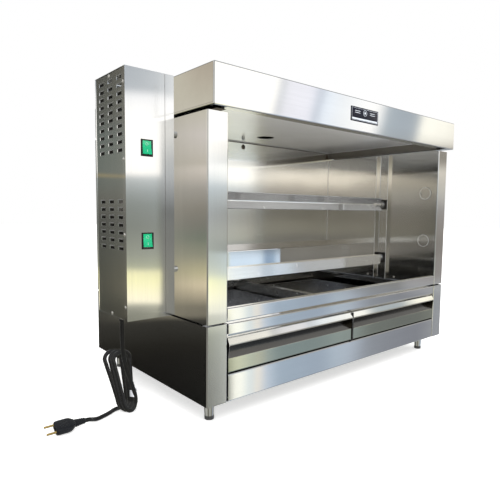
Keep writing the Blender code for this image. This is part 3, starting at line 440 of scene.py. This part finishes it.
# Painted shade: everywhere below its top 1.8 mm the ceiling panel is painted dark, a little lighter going
# up; only its top keeps plain white steel
ceiling_steel = brushed("ceiling_steel", WHITE, 0.12, "X", LEVEL, 0.02, 1.2, 0.10, metallic=0.5, painted_light_by_height=[
    (SKIRT_TOP - 0.030, (0.16, 0.145, 0.12)), (SKIRT_TOP - 0.0018, (0.20, 0.185, 0.16)),
    (SKIRT_TOP - 0.0014, WHITE), (SKIRT_TOP, WHITE)])
louvre_steel = brushed("louvre_steel", (0.78, 0.79, 0.77), 0.10, "Z", UPRIGHT, stains=0.15)
tray_steel = brushed("tray_steel", (0.62, 0.63, 0.65), 0.12, "X", LEVEL, 0.05, stains=0.25, scratches=0.4)
rail_steel = brushed("rail_steel", (0.50, 0.50, 0.49), 0.24, "Y", ALONG_DEPTH, 0.05, stains=0.30,
                     scratches=0.3)
spit_steel = brushed("spit_steel", (0.95, 0.95, 0.94), 0.12, "X", ALONG_SPIT, 0.06, scratches=0.10,
                     metallic=0.8)
# Painted shadow: the baffle grows a little lighter going up, then its top 11 mm are painted dark as a
# painted shadow gap above it
baffle_steel = brushed("baffle_steel", WHITE, 0.06, "X", LEVEL, warp=0.8, painted_light_by_height=[
    (BAFFLE_TOP - 0.091, (0.80, 0.80, 0.80)), (BAFFLE_TOP - 0.0118, (0.88, 0.88, 0.88)),
    (BAFFLE_TOP - 0.0108, (0.22, 0.22, 0.23)), (BAFFLE_TOP, (0.17, 0.17, 0.18))])
dark_sheet = brushed("dark_sheet", (0.16, 0.16, 0.16), 0.38, "X", LEVEL, 0.06, stains=0.35)
cast_iron = worn("cast_iron", (0.07, 0.065, 0.06), 0.9, 0.42, 90, 0.0004, 0.45)
motor_paint = worn("motor_paint", (0.20, 0.19, 0.18), 0.7, 0.45, 60, 0.0003)
chrome = worn("chrome", (0.86, 0.87, 0.88), 1.0, 0.09, 40, 0.00003, 0.05)
zinc_screw = worn("zinc_screw", (0.82, 0.80, 0.76), 1.0, 0.20, 200, 0.00005, 0.12)
dark_steel = worn("dark_steel", (0.16, 0.16, 0.17), 0.9, 0.35, 120, 0.0001, 0.3)
black_plastic = worn("black_plastic", (0.006, 0.006, 0.007), 0.0, 0.28, 150, 0.0001, 0.3,
                     Specular_IOR_Level=0.35)
plug_plastic = worn("plug_plastic", (0.006, 0.007, 0.010), 0.0, 0.32, 220, 0.00025, 0.3,
                    Specular_IOR_Level=0.35)
# Painted highlight: a pale, barely metallic finish for thin strips that stand for the glint along edges
edge_highlight = worn("edge_highlight", (0.86, 0.86, 0.84), 0.2, 0.45, 300, 0.00003, 0.06)
# Painted shade: a dark finish for the louvres' lips and sills, standing in for the shade in the slots
louvre_slot_shade = worn("louvre_slot_shade", (0.16, 0.16, 0.155), 0.6, 0.45, 300, 0.00003, 0.2)
# Painted shadow: a near-black finish for thin strips that stand for the shadow in narrow gaps
gap_shadow = worn("gap_shadow", (0.05, 0.05, 0.05), 0.6, 0.5, 200, 0.0001, 0.4)
cord_rubber = worn("cord_rubber", (0.003, 0.003, 0.0035), 0.0, 0.18, 60, 0.0001, 0.3,
                   Specular_IOR_Level=0.55)
green_lens = worn("green_lens", (0.0, 0.36, 0.155), 0.0, 0.12, 40, 0.00005, 0.12, Coat_Weight=0.6)
white_print = worn("white_print", (0.38, 0.62, 0.52), 0.0, 0.35, 80, 0.00003, 0.05)
white_plastic = worn("white_plastic", (0.70, 0.72, 0.76), 0.0, 0.35, 90, 0.0001, 0.10)
brass = worn("brass", (0.66, 0.47, 0.17), 1.0, 0.24, 150, 0.00008, 0.15)
copper = worn("copper", (0.72, 0.36, 0.17), 1.0, 0.30, 180, 0.0002, 0.3)
# Painted shade: a near-black finish for the lining seen through the louvres
slot_shade_finish = worn("slot_shade_finish", (0.035, 0.033, 0.03), 0.0, 0.9, 140, 0.0006, 0.5)
# Painted shade: a dark brown finish for sheets that stand for the shade behind openings
vent_shade = worn("vent_shade", (0.10, 0.075, 0.055), 0.5, 0.5, 60, 0.0002, 0.5)
weld = worn("weld", (0.20, 0.19, 0.18), 0.9, 0.40, 260, 0.0004, 0.4)
plate_enamel = worn("plate_enamel", (0.003, 0.004, 0.012), 0.0, 0.30, 60, 0.00003, 0.2,
                    Specular_IOR_Level=0.25)
plate_silver = worn("plate_silver", (0.62, 0.66, 0.72), 0.25, 0.45, 90, 0.00003, 0.06)

# Each finish, and how the names of the CAD nodes that have it begin
CAD_LOOKS = {
    upright_steel: ("left_side_skin", "right_side_skin", "base_left_side", "base_right_side", "motor_tray"),
    cover_steel: ("motor_cover",),
    level_steel: ("base_front_", "front_ledge", "canopy_shell"),
    drawer_steel: ("drawer_front_",),
    wall_steel: ("inner_", "spit_post", "port_cover_"),
    back_steel: ("cavity_back_wall", "rear_cover"),
    ceiling_steel: ("ceiling_panel",),
    louvre_steel: ("louvred_panel",),
    tray_steel: ("drawer_tray_", "base_floor"),
    rail_steel: ("base_centre_rail", "base_back_rail", "drawer_runner_"),
    spit_steel: ("upper_spit", "lower_spit"),
    baffle_steel: ("burner_baffle",),
    dark_sheet: ("base_back_panel", "burner_tube"),
    cast_iron: ("bearing_block_",),
    motor_paint: ("gear_motor_",),
    chrome: ("foot_sleeve_", "drive_socket_"),
    dark_steel: ("foot_tip_",),
    black_plastic: ("switch_body_",),
    green_lens: ("rocker_",),
    white_plastic: ("terminal_block",),
}
# How the names of nodes begin that the metal beside them doesn't mirror
UNMIRRORED = ("canopy_shell", "front_ledge", "upper_spit", "lower_spit", "spit_post", "bearing_block_",
              "drive_socket_", "motor_", "louvred_panel", "gear_motor_", "terminal_block", "switch_body_",
              "cord_gland", "rocker_")


def smooth(mesh, degrees):
    """Smooth shading, apart from the edges that turn by more than this."""
    mesh.shade_smooth()
    mesh.set_sharp_from_angle(angle=math.radians(degrees))


for name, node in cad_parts.items():
    for look, starts in CAD_LOOKS.items():
        if name.startswith(starts):
            for held in node.material_slots:
                held.material = look
            smooth(node.data, 25)
    node.visible_glossy = not name.startswith(UNMIRRORED)


# Shape tools

def add(name, shape, look, body="chassis", replaces=(), mirrored=True):
    """A new piece from a finished shape, which rides on a body.

    Mirrors show it unless it says otherwise or stands wholly beyond the body's left side.
    """
    bmesh.ops.recalc_face_normals(shape, faces=shape.faces)
    mesh = bpy.data.meshes.new(name)
    shape.to_mesh(mesh)
    shape.free()
    mesh.materials.append(look)
    smooth(mesh, 35)
    made = bpy.data.objects.new(name, mesh)
    scene.collection.objects.link(made)
    made.visible_glossy = mirrored and max(vert.co.x for vert in mesh.vertices) > LEFT + 0.002
    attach(made, body)
    if replaces:
        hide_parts(*replaces)
    return made


def circle(radius, height, sides):
    """Places round +Z, at a radius and a height."""
    angles = [2 * math.pi * i / sides for i in range(sides)]
    return [Vector((radius * math.cos(angle), radius * math.sin(angle), height)) for angle in angles]


def loft(rings, shape=None):
    """A closed skin through rings of as many points each, with both ends capped."""
    shape = shape or bmesh.new()
    made = [[shape.verts.new(place) for place in ring] for ring in rings]
    count = len(made[0])
    for ring, following in zip(made, made[1:]):
        for i in range(count):
            j = (i + 1) % count
            shape.faces.new((ring[i], ring[j], following[j], following[i]))
    shape.faces.new(made[0])
    shape.faces.new(made[-1])
    return shape


def aim(place, direction):
    """A matrix that carries +Z to a direction, at a place."""
    return Matrix.Translation(place) @ Vector(direction).to_track_quat("Z", "Y").to_matrix().to_4x4()


def lathe(profile, place, direction, sides=24, shape=None):
    """A profile of (radius, height) points spun round a direction."""
    carry = aim(place, direction)
    rings = [[carry @ spot for spot in circle(radius, height, sides)] for radius, height in profile]
    return loft(rings, shape)


def bead(place, direction, radius, thickness, sides=40, shape=None):
    """A thin round ring, of which the thickness is its wire's radius."""
    shape = shape or bmesh.new()
    carry = aim(place, direction)
    steps = 6
    rows = []
    for step in range(steps):
        turn = 2 * math.pi * step / steps
        wire = circle(radius + thickness * math.cos(turn), thickness * math.sin(turn), sides)
        rows.append([shape.verts.new(carry @ spot) for spot in wire])
    for row, onward in zip(rows, rows[1:] + rows[:1]):
        for i in range(sides):
            j = (i + 1) % sides
            shape.faces.new((row[i], row[j], onward[j], onward[i]))
    return shape


def merge(shape, other, carry):
    """Copies another shape into this one, moved by a matrix."""
    mesh = bpy.data.meshes.new("part")
    other.to_mesh(mesh)
    mesh.transform(carry)
    shape.from_mesh(mesh)
    bpy.data.meshes.remove(mesh)


def slab(low, high, edge, segments=2, shape=None):
    """A block between two corners with rounded edges."""
    new = bmesh.new()
    bmesh.ops.create_cube(new, size=1)
    low, high = Vector(low), Vector(high)
    for vert in new.verts:
        vert.co = Vector((low[i] + (vert.co[i] + 0.5) * (high[i] - low[i]) for i in range(3)))
    bmesh.ops.bevel(new, geom=new.edges[:], offset=edge, segments=segments, affect="EDGES", profile=0.5)
    if shape is None:
        return new
    merge(shape, new, Matrix())
    new.free()
    return shape


def border(left, right, bottom, top, front, back, wide, edge, segments, shape):
    """Four bars round an upright rectangle that faces the front."""
    for x, far_x, z, far_z in ((left, right, top - wide, top), (left, right, bottom, bottom + wide),
                               (left, left + wide, bottom, top), (right - wide, right, bottom, top)):
        slab((x, front, z), (far_x, back, far_z), edge, segments, shape)


def cross_head():
    """A pan head with a cross recess, 1 unit in radius, standing on its seat."""
    sides = 24
    slot_half, slot_reach = 0.13, 0.58
    rings = [circle(radius, height, sides)
             for radius, height in ((1.0, 0.0), (1.0, 0.22), (0.93, 0.40), (0.78, 0.52), (0.64, 0.58))]
    recess = []
    for spot in circle(1, 0, sides):
        offset = min(abs(spot.x), abs(spot.y))
        radius = slot_reach if offset * slot_reach <= slot_half * 1.05 else slot_half * 1.5
        recess.append(Vector((radius * spot.x, radius * spot.y, 0.60)))
    rings += [recess, [Vector((spot.x * 0.8, spot.y * 0.8, 0.22)) for spot in recess]]
    return loft(rings)


def rivet_head():
    """A blind rivet's domed head with its pulled stem, 1 unit in radius."""
    return lathe([(1.0, 0.0), (0.98, 0.14), (0.82, 0.34), (0.55, 0.44), (0.36, 0.46), (0.34, 0.26),
                  (0.20, 0.26), (0.18, 0.36), (0.05, 0.38)], (0, 0, 0), UP, 16)


def scatter(name, head, radius, spots, body="chassis"):
    """Copies of a bright head at (place, direction, turn) spots, as one piece."""
    shape = bmesh.new()
    for place, direction, turn in spots:
        turned = aim(place, direction) @ Matrix.Rotation(math.radians(turn), 4, "Z")
        merge(shape, head, turned @ Matrix.Scale(radius, 4))
    head.free()
    add(name, shape, zinc_screw, body)


# Screws, rivets and printed marks

SCREW, WALL_SCREW = 0.0034, 0.0032
MOTOR_STANDOFF = 0.020
VENT, VENT_RADIUS = (0.440, 0.325), 0.025
ROCKER_TILT = math.radians(8)


def fasteners():
    """The heads of the screws and rivets, each in its real place."""
    flange_y = COVER[0][1] + 0.0065
    spots = [((COVER[0][0], flange_y, z), TO_LEFT, turn)
             for z, turn in ((0.682, 20), (0.539, 75), (0.3955, 40), (0.2544, 10))]
    middle_y = middle("louvred_panel")[1] + 0.002
    spots += [((PANEL[0][0], middle_y, z), TO_LEFT, turn) for z, turn in ((0.7045, 30), (0.2325, 60))]
    scatter("cover_screws", cross_head(), SCREW, spots)

    low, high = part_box("rear_cover")
    inset = 0.012
    scatter("rear_screws", cross_head(), SCREW, [
        ((x, high[1], z), TO_BACK, 90 * x)
        for x in (low[0] + inset, CENTRE - 0.22, CENTRE, CENTRE + 0.22, high[0] - inset)
        for z in (low[2] + inset, 0.610)])

    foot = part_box("inner_right_wall")[0][2] + 0.0080
    behind_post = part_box("spit_post")[1][1] + 0.010
    spots = [((CAVITY_RIGHT, FRONT + setback, foot), TO_LEFT, 0) for setback in (0.144, 0.250, 0.400)]
    spots += [((CAVITY_RIGHT, behind_post, z), TO_LEFT, 0) for z in (0.245, 0.620)]
    scatter("wall_rivets", rivet_head(), WALL_SCREW, spots)

    low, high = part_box("burner_baffle")
    y, z = low[1] + 0.010, high[2] - 0.028
    scatter("baffle_screws", cross_head(), WALL_SCREW, [
        ((high[0] - 0.0010, y, z), TO_LEFT, 20), ((low[0] + 0.0010, y, z), TO_RIGHT, 20)])

    for name, setback in (("upper", 0.054), ("lower", 0.055)):
        x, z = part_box("port_cover_" + name)[0][0], middle("port_cover_" + name)[2]
        scatter("port_rivet_" + name, rivet_head(), SCREW, [((x, FRONT + setback, z), TO_LEFT, 0)],
                "port_cover_" + name)


def ports():
    """A painted shadow line round each port cover, and a painted highlight along the rolled edge inside it.
    """
    for name in LEVELS:
        low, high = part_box("port_cover_" + name)
        radius = (high[2] - low[2]) / 2
        y, z = low[1] + radius, (low[2] + high[2]) / 2
        seam = bead((CAVITY_RIGHT - 0.0003, y, z), TO_LEFT, radius + 0.0004, 0.0004)
        add("port_shadow_line_" + name, seam, gap_shadow)
        rolled = bead((high[0] - 0.0015, y, z), TO_LEFT, radius - 0.0004, 0.0004)
        add("port_edge_" + name, rolled, edge_highlight, "port_cover_" + name)


def rocker_marks():
    """The O and I on each rocker, and the black bezel round it."""
    for name in LEVELS:
        low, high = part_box("switch_body_" + name)
        x, _, z = middle("switch_body_" + name)
        marks = bead((0, -0.0067, 0.0068), TO_FRONT, 0.0026, 0.00035, 28)
        slab((-0.00045, -0.00695, -0.0095), (0.00045, -0.0063, -0.0042), 0.0001, 1, marks)
        carry = Matrix.Translation((x, COVER[0][1] + 0.004, z)) @ Matrix.Rotation(-ROCKER_TILT, 4, "X")
        for vert in marks.verts:
            vert.co = carry @ vert.co
        add("rocker_marks_" + name, marks, white_print, "rocker_" + name)
        bezel = bmesh.new()
        border(low[0], high[0], low[2], high[2], low[1] - 0.0004, low[1] + 0.0012, 0.0022, 0.0004, 2, bezel)
        add("switch_bezel_" + name, bezel, black_plastic)


def plate():
    """A generic plate: dark enamel, a silver border and band, and a plain device with no lettering."""
    low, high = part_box("name_plate")
    enamel = slab((low.x, low.y + 0.0005, low.z), high, 0.0004)
    add("plate_body", enamel, plate_enamel, replaces=["name_plate"])
    front, back = low.y + 0.0001, low.y + 0.0008
    left, right, bottom, top = low.x + 0.0026, high.x - 0.0026, low.z + 0.0026, high.z - 0.0026
    trim = bmesh.new()
    border(left, right, bottom, top, front, back, 0.0006, 0.0002, 1, trim)
    slab((left + 0.0016, front, bottom + 0.0016), (right - 0.0016, back, bottom + 0.0058), 0.0002, 1, trim)
    x, z = (low.x + high.x) / 2, high.z - 0.0125
    for bar in (x - 0.030, x + 0.030):
        for rise in (z + 0.0032, z - 0.0012):
            slab((bar - 0.0105, front, rise - 0.0006), (bar + 0.0105, back, rise + 0.0006), 0.0002, 1, trim)
    bead((x, front + 0.0006, z + 0.001), TO_FRONT, 0.0068, 0.0006, 36, trim)
    boss = [(0.0030, 0.0), (0.0030, 0.0003), (0.0024, 0.0004)]
    lathe(boss, (x, front + 0.0005, z + 0.001), TO_FRONT, 20, trim)
    add("plate_device", trim, plate_silver)


def louvres():
    """The lip pressed out over each slot, and a strip along the slot's lower edge, both in a dark finish
    that paints the shade in the slots.
    """
    lips, sills = bmesh.new(), bmesh.new()
    outer, face = COVER[0][0] + 0.0001, PANEL[0][0]
    pitch, half = 0.0152, 0.0110
    for top, rows in ((0.694, 10), (0.459, 7)):
        for row in range(rows):
            z = top - row * pitch
            for column in (0.027, 0.068, 0.109):
                near, far = COVER[0][1] + column - half, COVER[0][1] + column + half
                profile = [(face, z + 0.0048), (outer, z + 0.0032), (outer, z + 0.0026), (face, z + 0.0036)]
                loft([[Vector((x, y, height)) for x, height in profile] for y in (near, far)], lips)
                slab((face - 0.0004, near, z - 0.0036), (face + 0.0010, far, z - 0.0030), 0.0001, 1, sills)
    add("louvre_lips", lips, louvre_slot_shade)
    add("louvre_sills", sills, louvre_slot_shade)


def windings():
    """The motors' copper windings and the screws on the terminal block."""
    for name in LEVELS:
        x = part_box("gear_motor_" + name)[0][0] + 0.012
        _, y, z = middle("gear_motor_" + name)
        coil = bmesh.new()
        for turn in range(6):
            bead((x + turn * 0.0045, y, z - 0.006), TO_LEFT, 0.0250, 0.0018, 32, coil)
        add("motor_winding_" + name, coil, copper)
    low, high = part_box("terminal_block")
    screws = bmesh.new()
    for i in range(4):
        place = ((low[0] + high[0]) / 2, low[1] + 0.008 + i * 0.013, high[2])
        lathe([(0.0034, 0.0), (0.0034, 0.0012), (0.0026, 0.0020)], place, UP, 16, screws)
    add("terminal_screws", screws, brass)


def slot_shade_pad():
    """A dark pad inside the motor box's tray and back, painted shade for what shows through the slots."""
    low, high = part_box("motor_tray")
    sheet = 0.0018
    side, rear = LEFT - MOTOR_STANDOFF - sheet, high[1] - sheet
    bottom, top = low[2] + 0.004, high[2] - 0.004
    pad = slab((side - 0.0012, low[1] + 0.004, bottom), (side, rear, top), 0.0003)
    slab((PANEL[1][0] + 0.0010, rear - 0.0012, bottom), (side - 0.0014, rear, top), 0.0003, 2, pad)
    add("slot_shade_pad", pad, slot_shade_finish)


def vent_cup():
    """The dark cup that closes the ceiling's vent, and the strip behind the back wall's high holes, both
    dark as painted shade seen through these openings.
    """
    wall, inside = VENT_RADIUS + 0.004, VENT_RADIUS + 0.003
    profile = [(wall, 0), (wall, 0.0180), (VENT_RADIUS, 0.0200), (0.001, 0.0200), (0.001, 0.0190),
               (VENT_RADIUS, 0.0190), (inside, 0.0175), (inside, 0)]
    cup = lathe(profile, (LEFT + VENT[0], FRONT + VENT[1], SKIRT_TOP), UP, 40)
    slab((CAVITY_LEFT, CAVITY_BACK + 0.0018, SKIRT_TOP - 0.027),
         (CAVITY_RIGHT, CAVITY_BACK + 0.0026, SKIRT_TOP - 0.003), 0.0002, 1, cup)
    add("vent_cup", cup, vent_shade)


def bearings():
    """A dark bush on each bearing block, with a bright washer round the pin, and painted highlights along
    the post's edges.
    """
    bushes, washers, edges = bmesh.new(), bmesh.new(), bmesh.new()
    for name in LEVELS:
        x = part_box("bearing_block_" + name)[0][0]
        _, y, z = middle("bearing_block_" + name)
        bead((x, y, z), TO_LEFT, 0.0112, 0.0016, 36, bushes)
        bead((x - 0.0004, y, z), TO_LEFT, 0.0080, 0.0009, 32, washers)
    add("bearing_bushes", bushes, dark_steel, mirrored=False)
    add("bearing_washers", washers, chrome, mirrored=False)
    low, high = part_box("spit_post")
    for y in (low[1], high[1] - 0.0010):
        slab((low[0] - 0.0003, y, low[2]), (low[0] + 0.0004, y + 0.0010, high[2]), 0.0001, 1, edges)
    add("post_edges", edges, edge_highlight, mirrored=False)


def spit_details():
    """The weld bead round each spit's pin and the rounded fold inside its angle."""
    for name, turn in (("upper", 135), ("lower", -90)):
        _, y, z = middle("drive_socket_" + name)
        seam = bmesh.new()
        for step, radius in enumerate((0.0060, 0.0066, 0.0060)):
            bead((LEFT + 0.8385 + step * 0.0012, y, z), TO_LEFT, radius, 0.0009, 24, seam)
        add("spit_weld_" + name, seam, weld, name + "_spit", mirrored=False)

        fold, inner, radius = math.radians(turn), 0.0059, 0.0030
        corner = Vector((0, -inner * math.cos(fold) + inner * math.sin(fold),
                         -inner * math.sin(fold) - inner * math.cos(fold)))
        centre = corner - corner.normalized() * (radius * math.sqrt(2))
        section = []
        for degrees in range(0, 91, 15):
            angle = fold + math.radians(degrees + 180)
            section.append(centre + Vector((0, radius * math.cos(angle), radius * math.sin(angle))))
        section.append(corner)
        fillet = loft([[Vector((x, y, z)) + spot for spot in section] for x in (LEFT + 0.112, LEFT + 0.806)])
        add("spit_fillet_" + name, fillet, spit_steel, name + "_spit", mirrored=False)


def trays():
    """The rolled rim round each drip tray."""
    wide = 0.0032
    for side in ("left", "right"):
        low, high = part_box("drawer_tray_" + side)
        bottom, top = high[2] - 0.0012, high[2] + 0.0006
        rim = slab((low[0] - 0.001, low[1], bottom), (low[0] + wide, high[1], top), 0.0005)
        slab((high[0] - wide, low[1], bottom), (high[0] + 0.001, high[1], top), 0.0005, 2, rim)
        slab((low[0], high[1] - wide, bottom), (high[0], high[1] + 0.001, top), 0.0005, 2, rim)
        add("tray_rim_" + side, rim, rail_steel, "drawer_" + side)


def seams():
    """The dark joints between sheets, a painted shadow in the gap between the drawers and a painted
    highlight along the corner in the cavity.
    """
    low, high = COVER
    tray_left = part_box("motor_tray")[0][0]
    box_joint = slab((tray_left - 0.0007, low[1] - 0.0002, low[2] + 0.001),
                     (tray_left + 0.0002, low[1] + 0.0004, high[2] - 0.001), 0.0001, 1)
    add("motor_box_joint", box_joint, weld)

    left_high, right_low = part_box("drawer_front_left")[1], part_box("drawer_front_right")[0]
    gap = slab((left_high[0] + 0.0002, right_low[1] + 0.0005, right_low[2] + 0.001),
               (right_low[0] - 0.0002, right_low[1] + 0.0025, left_high[2] - 0.001), 0.0001, 1)
    add("drawer_gap_shadow", gap, gap_shadow)

    back_low, back_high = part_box("cavity_back_wall")
    corner = slab((CAVITY_RIGHT - 0.0016, CAVITY_BACK - 0.0016, BAFFLE_TOP + 0.002),
                  (CAVITY_RIGHT - 0.0001, CAVITY_BACK - 0.0001, back_high[2] - 0.030), 0.0002, 1)
    add("cavity_corner_highlight", corner, edge_highlight, mirrored=False)

    joints = slab((CAVITY_LEFT, back_low[1] - 0.0020, back_high[2] - 0.0030),
                  (CAVITY_RIGHT - 0.0005, back_low[1] - 0.0001, back_high[2] - 0.0002), 0.0001, 1)
    low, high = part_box("canopy_shell")
    slab((LEFT - 0.0002, low[1] + 0.003, low[2] + 0.0045), (LEFT + 0.0003, high[1] - 0.003, low[2] + 0.0050),
         0.0001, 1, joints)
    slab((LEFT - 0.0001, low[1] + 0.0022, low[2] + 0.004), (LEFT + 0.0012, low[1] + 0.0030, high[2] - 0.004),
         0.0001, 1, joints)
    add("sheet_joints", joints, weld)


fasteners()
ports()
rocker_marks()
plate()
louvres()
windings()
slot_shade_pad()
vent_cup()
bearings()
spit_details()
trays()
seams()


# Cord: a drop from the gland, three turns tied in a hank, and a tail to the plug

CORD = 0.0088
PLUG_ROLL = 25
PLUG_HALF = (0.0150, 0.0085)
GLAND_X, GLAND_Y, _ = middle("cord_gland")
GLAND_END = GLAND[0][2]
HANK_MIDDLE = Vector((*middle("cord_bundle")[:2], 0.0675))
HANK_RADIUS = 0.0160
HANK_STRAIGHT = 0.0940
HANK_LEAN = math.radians(4.0)
HANK_STEP = (0.0045, 0.0085)
FIRST_TURN, LAST_TURN = 0.13, 3.20
PLACES_A_TURN = 16


def hank_place(turn):
    """A place on the tied turns, which start half way down their right side and run down it.

    Each turn lies further back and to the left than the one before it, and they draw together lower down.
    """
    arc = math.pi * HANK_RADIUS
    half = HANK_STRAIGHT / 2
    way = (turn % 1) * 2 * (arc + HANK_STRAIGHT)
    if way < half:
        across, along = HANK_RADIUS, -way
    elif way < half + arc:
        angle = (way - half) / HANK_RADIUS
        across, along = HANK_RADIUS * math.cos(angle), -half - HANK_RADIUS * math.sin(angle)
    elif way < 3 * half + arc:
        across, along = -HANK_RADIUS, way - 2 * half - arc
    elif way < 3 * half + 2 * arc:
        angle = (way - 3 * half - arc) / HANK_RADIUS
        across, along = -HANK_RADIUS * math.cos(angle), half + HANK_RADIUS * math.sin(angle)
    else:
        across, along = HANK_RADIUS, 4 * half + 2 * arc - way
    order = turn - (FIRST_TURN + LAST_TURN) / 2
    across *= 1 + 4.5 * along
    lean = HANK_LEAN + math.radians(1.5) * math.sin(3 * turn)
    x = across * math.cos(lean) - along * math.sin(lean) - HANK_STEP[0] * order * (1 + 8 * along)
    y = HANK_STEP[1] * order + 0.22 * along
    z = across * math.sin(lean) + along * math.cos(lean)
    return HANK_MIDDLE + Vector((x, y, z))


def plug_place(along, across, rise):
    """A place on the plug, from where its neck starts, with the plug's own breadth and thickness."""
    _, y, z = middle("plug")
    turned_by = Matrix.Rotation(math.radians(PLUG_ROLL), 3, "X")
    return Vector((PLUG[1][0], y, z)) + turned_by @ Vector((-along, across, rise))


def cord_route():
    """The cord's places from the gland to the plug."""
    rest = CORD / 2 + 0.0005
    entry = plug_place(0.002, 0, 0)
    drop = ((0.089, 0.189, 0.140), (0.086, 0.185, 0.112), (0.078, 0.184, 0.082), (0.068, 0.187, 0.056))
    tail = ((0.104, 0.2085, rest), (0.117, 0.2010, rest), (0.132, 0.1945, rest),
            (0.149, 0.1880, rest + 0.0008), (0.162, 0.1835, (rest + entry.z) / 2))
    places = [Vector((GLAND_X, GLAND_Y, GLAND_END + rise)) for rise in (0.004, -0.012, -0.030)]
    places += [Vector((LEFT - out, FRONT + setback, z)) for out, setback, z in drop]
    for step in range(int((LAST_TURN - FIRST_TURN) * PLACES_A_TURN)):
        place = hank_place(FIRST_TURN + (step + 1) / PLACES_A_TURN)
        place.z = max(place.z, rest)
        places.append(place)
    places += [Vector((LEFT - out, FRONT + setback, z)) for out, setback, z in tail]
    return places + [Vector((PLUG[1][0] + 0.008, entry.y, entry.z - 0.0006)), entry]


def make_cord():
    """The cord as one round curve along its route."""
    curve = bpy.data.curves.new("power_cord", "CURVE")
    curve.dimensions = "3D"
    curve.bevel_depth = CORD / 2
    curve.bevel_resolution = 5
    curve.resolution_u = 6
    curve.use_fill_caps = True
    places = cord_route()
    line = curve.splines.new("BEZIER")
    line.bezier_points.add(len(places) - 1)
    for spot, place in zip(line.bezier_points, places):
        spot.co = place
        spot.handle_left_type = spot.handle_right_type = "AUTO"
    curve.materials.append(cord_rubber)
    made = bpy.data.objects.new("power_cord", curve)
    scene.collection.objects.link(made)
    made.visible_glossy = False
    return made


def make_plug():
    """A flat two-pin plug with a ribbed neck, a ribbed grip and brass pins."""
    half_y, half_z = PLUG_HALF
    stations = [(0.0, 0.26, 0.46), (0.001, 0.33, 0.58)]
    for rib in range(5):
        start, wide, tall = 0.0020 + rib * 0.0040, 0.34 + rib * 0.035, 0.62 + rib * 0.025
        stations += [(start, wide, tall), (start + 0.0024, wide, tall),
                     (start + 0.0027, wide - 0.08, tall - 0.13), (start + 0.0038, wide - 0.08, tall - 0.13)]
    stations += [(0.0225, 0.52, 0.74), (0.0265, 0.74, 0.88), (0.031, 0.93, 0.97), (0.036, 1.0, 1.0),
                 (0.054, 0.98, 1.0), (0.0575, 0.95, 0.97), (0.0592, 0.88, 0.90), (0.060, 0.78, 0.80)]
    rings = []
    for along, wide, tall in stations:
        rings.append([plug_place(along, half_y * wide * math.copysign(abs(spot.x) ** 0.55, spot.x),
                                 half_z * tall * math.copysign(abs(spot.y) ** 0.55, spot.y))
                      for spot in circle(1, 0, 32)])
    body = add("plug_body", loft(rings), plug_plastic, replaces=["plug"])
    grip = bmesh.new()
    for i in range(7):
        slab((-0.0015 - 0.0032 * i, -0.0105, 0), (0.0002 - 0.0032 * i, 0.0105, 0.0006), 0.00025, 1, grip)
    for vert in grip.verts:
        vert.co = plug_place(0.036 - vert.co.x * 0.75, vert.co.y, vert.co.z + half_z - 0.0001)
    grip = add("plug_grip", grip, plug_plastic)
    pins = bmesh.new()
    for across in (-0.0093, 0.0093):
        lathe([(0.0022, 0.0), (0.0022, 0.0175), (0.0019, 0.0186), (0.0011, 0.0192), (0.0003, 0.0193)],
              plug_place(0.0590, across, 0), TO_LEFT, 16, pins)
    pins = add("plug_pins", pins, brass)
    return [body, pins, grip]


def make_gland():
    """A ribbed strain relief that tapers to the cord, with the collar that clips it into the cover."""
    low, high = GLAND
    collar = COVER[0][2] - 0.0004
    profile = [(0.0040, low[2] + 0.0002), (0.0058, low[2] + 0.0003), (0.0062, low[2] + 0.001)]
    for rib in range(4):
        base, wide = low[2] + 0.0012 + rib * 0.0030, 0.0063 + rib * 0.00055
        profile += [(wide, base), (wide, base + 0.0017), (wide - 0.0011, base + 0.0020),
                    (wide - 0.0011, base + 0.0028)]
    profile += [(0.0085, collar - 0.0062), (0.0100, collar - 0.0058), (0.0105, collar - 0.0048),
                (0.0105, collar), (0.0080, collar), (0.0080, high[2] - 0.001), (0.0070, high[2])]
    relief = lathe(profile, (GLAND_X, GLAND_Y, 0), UP)
    return add("gland_relief", relief, black_plastic, replaces=["cord_gland"])


def make_tie():
    """A twisted tie round the strands, as one band."""
    centre = HANK_MIDDLE + Vector((0.0200, -0.0148, -0.0290))
    steps, wide, deep, rise = 28, 0.0066, 0.0105, Vector((0, 0, 0.0075))
    rings = []
    for i in range(steps + 1):
        angle = 2 * math.pi * i / steps
        twist = 0.0016 * math.sin(2 * angle)
        spot = centre + Vector((wide * math.cos(angle), deep * math.sin(angle), twist))
        out = Vector((math.cos(angle), math.sin(angle) * 0.7, 0)).normalized()
        outer, inner = spot + out * 0.0005, spot - out * 0.0003
        rings.append([outer + rise, outer - rise, inner - rise, inner + rise])
    return add("tie_band", loft(rings), white_plastic, replaces=["cord_tie"])


cord = make_cord()
plug_pieces = make_plug()
gland = make_gland()
tie = make_tie()
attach(cord, "chassis")
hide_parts("cord_drop", "cord_bundle", "cord_tail")
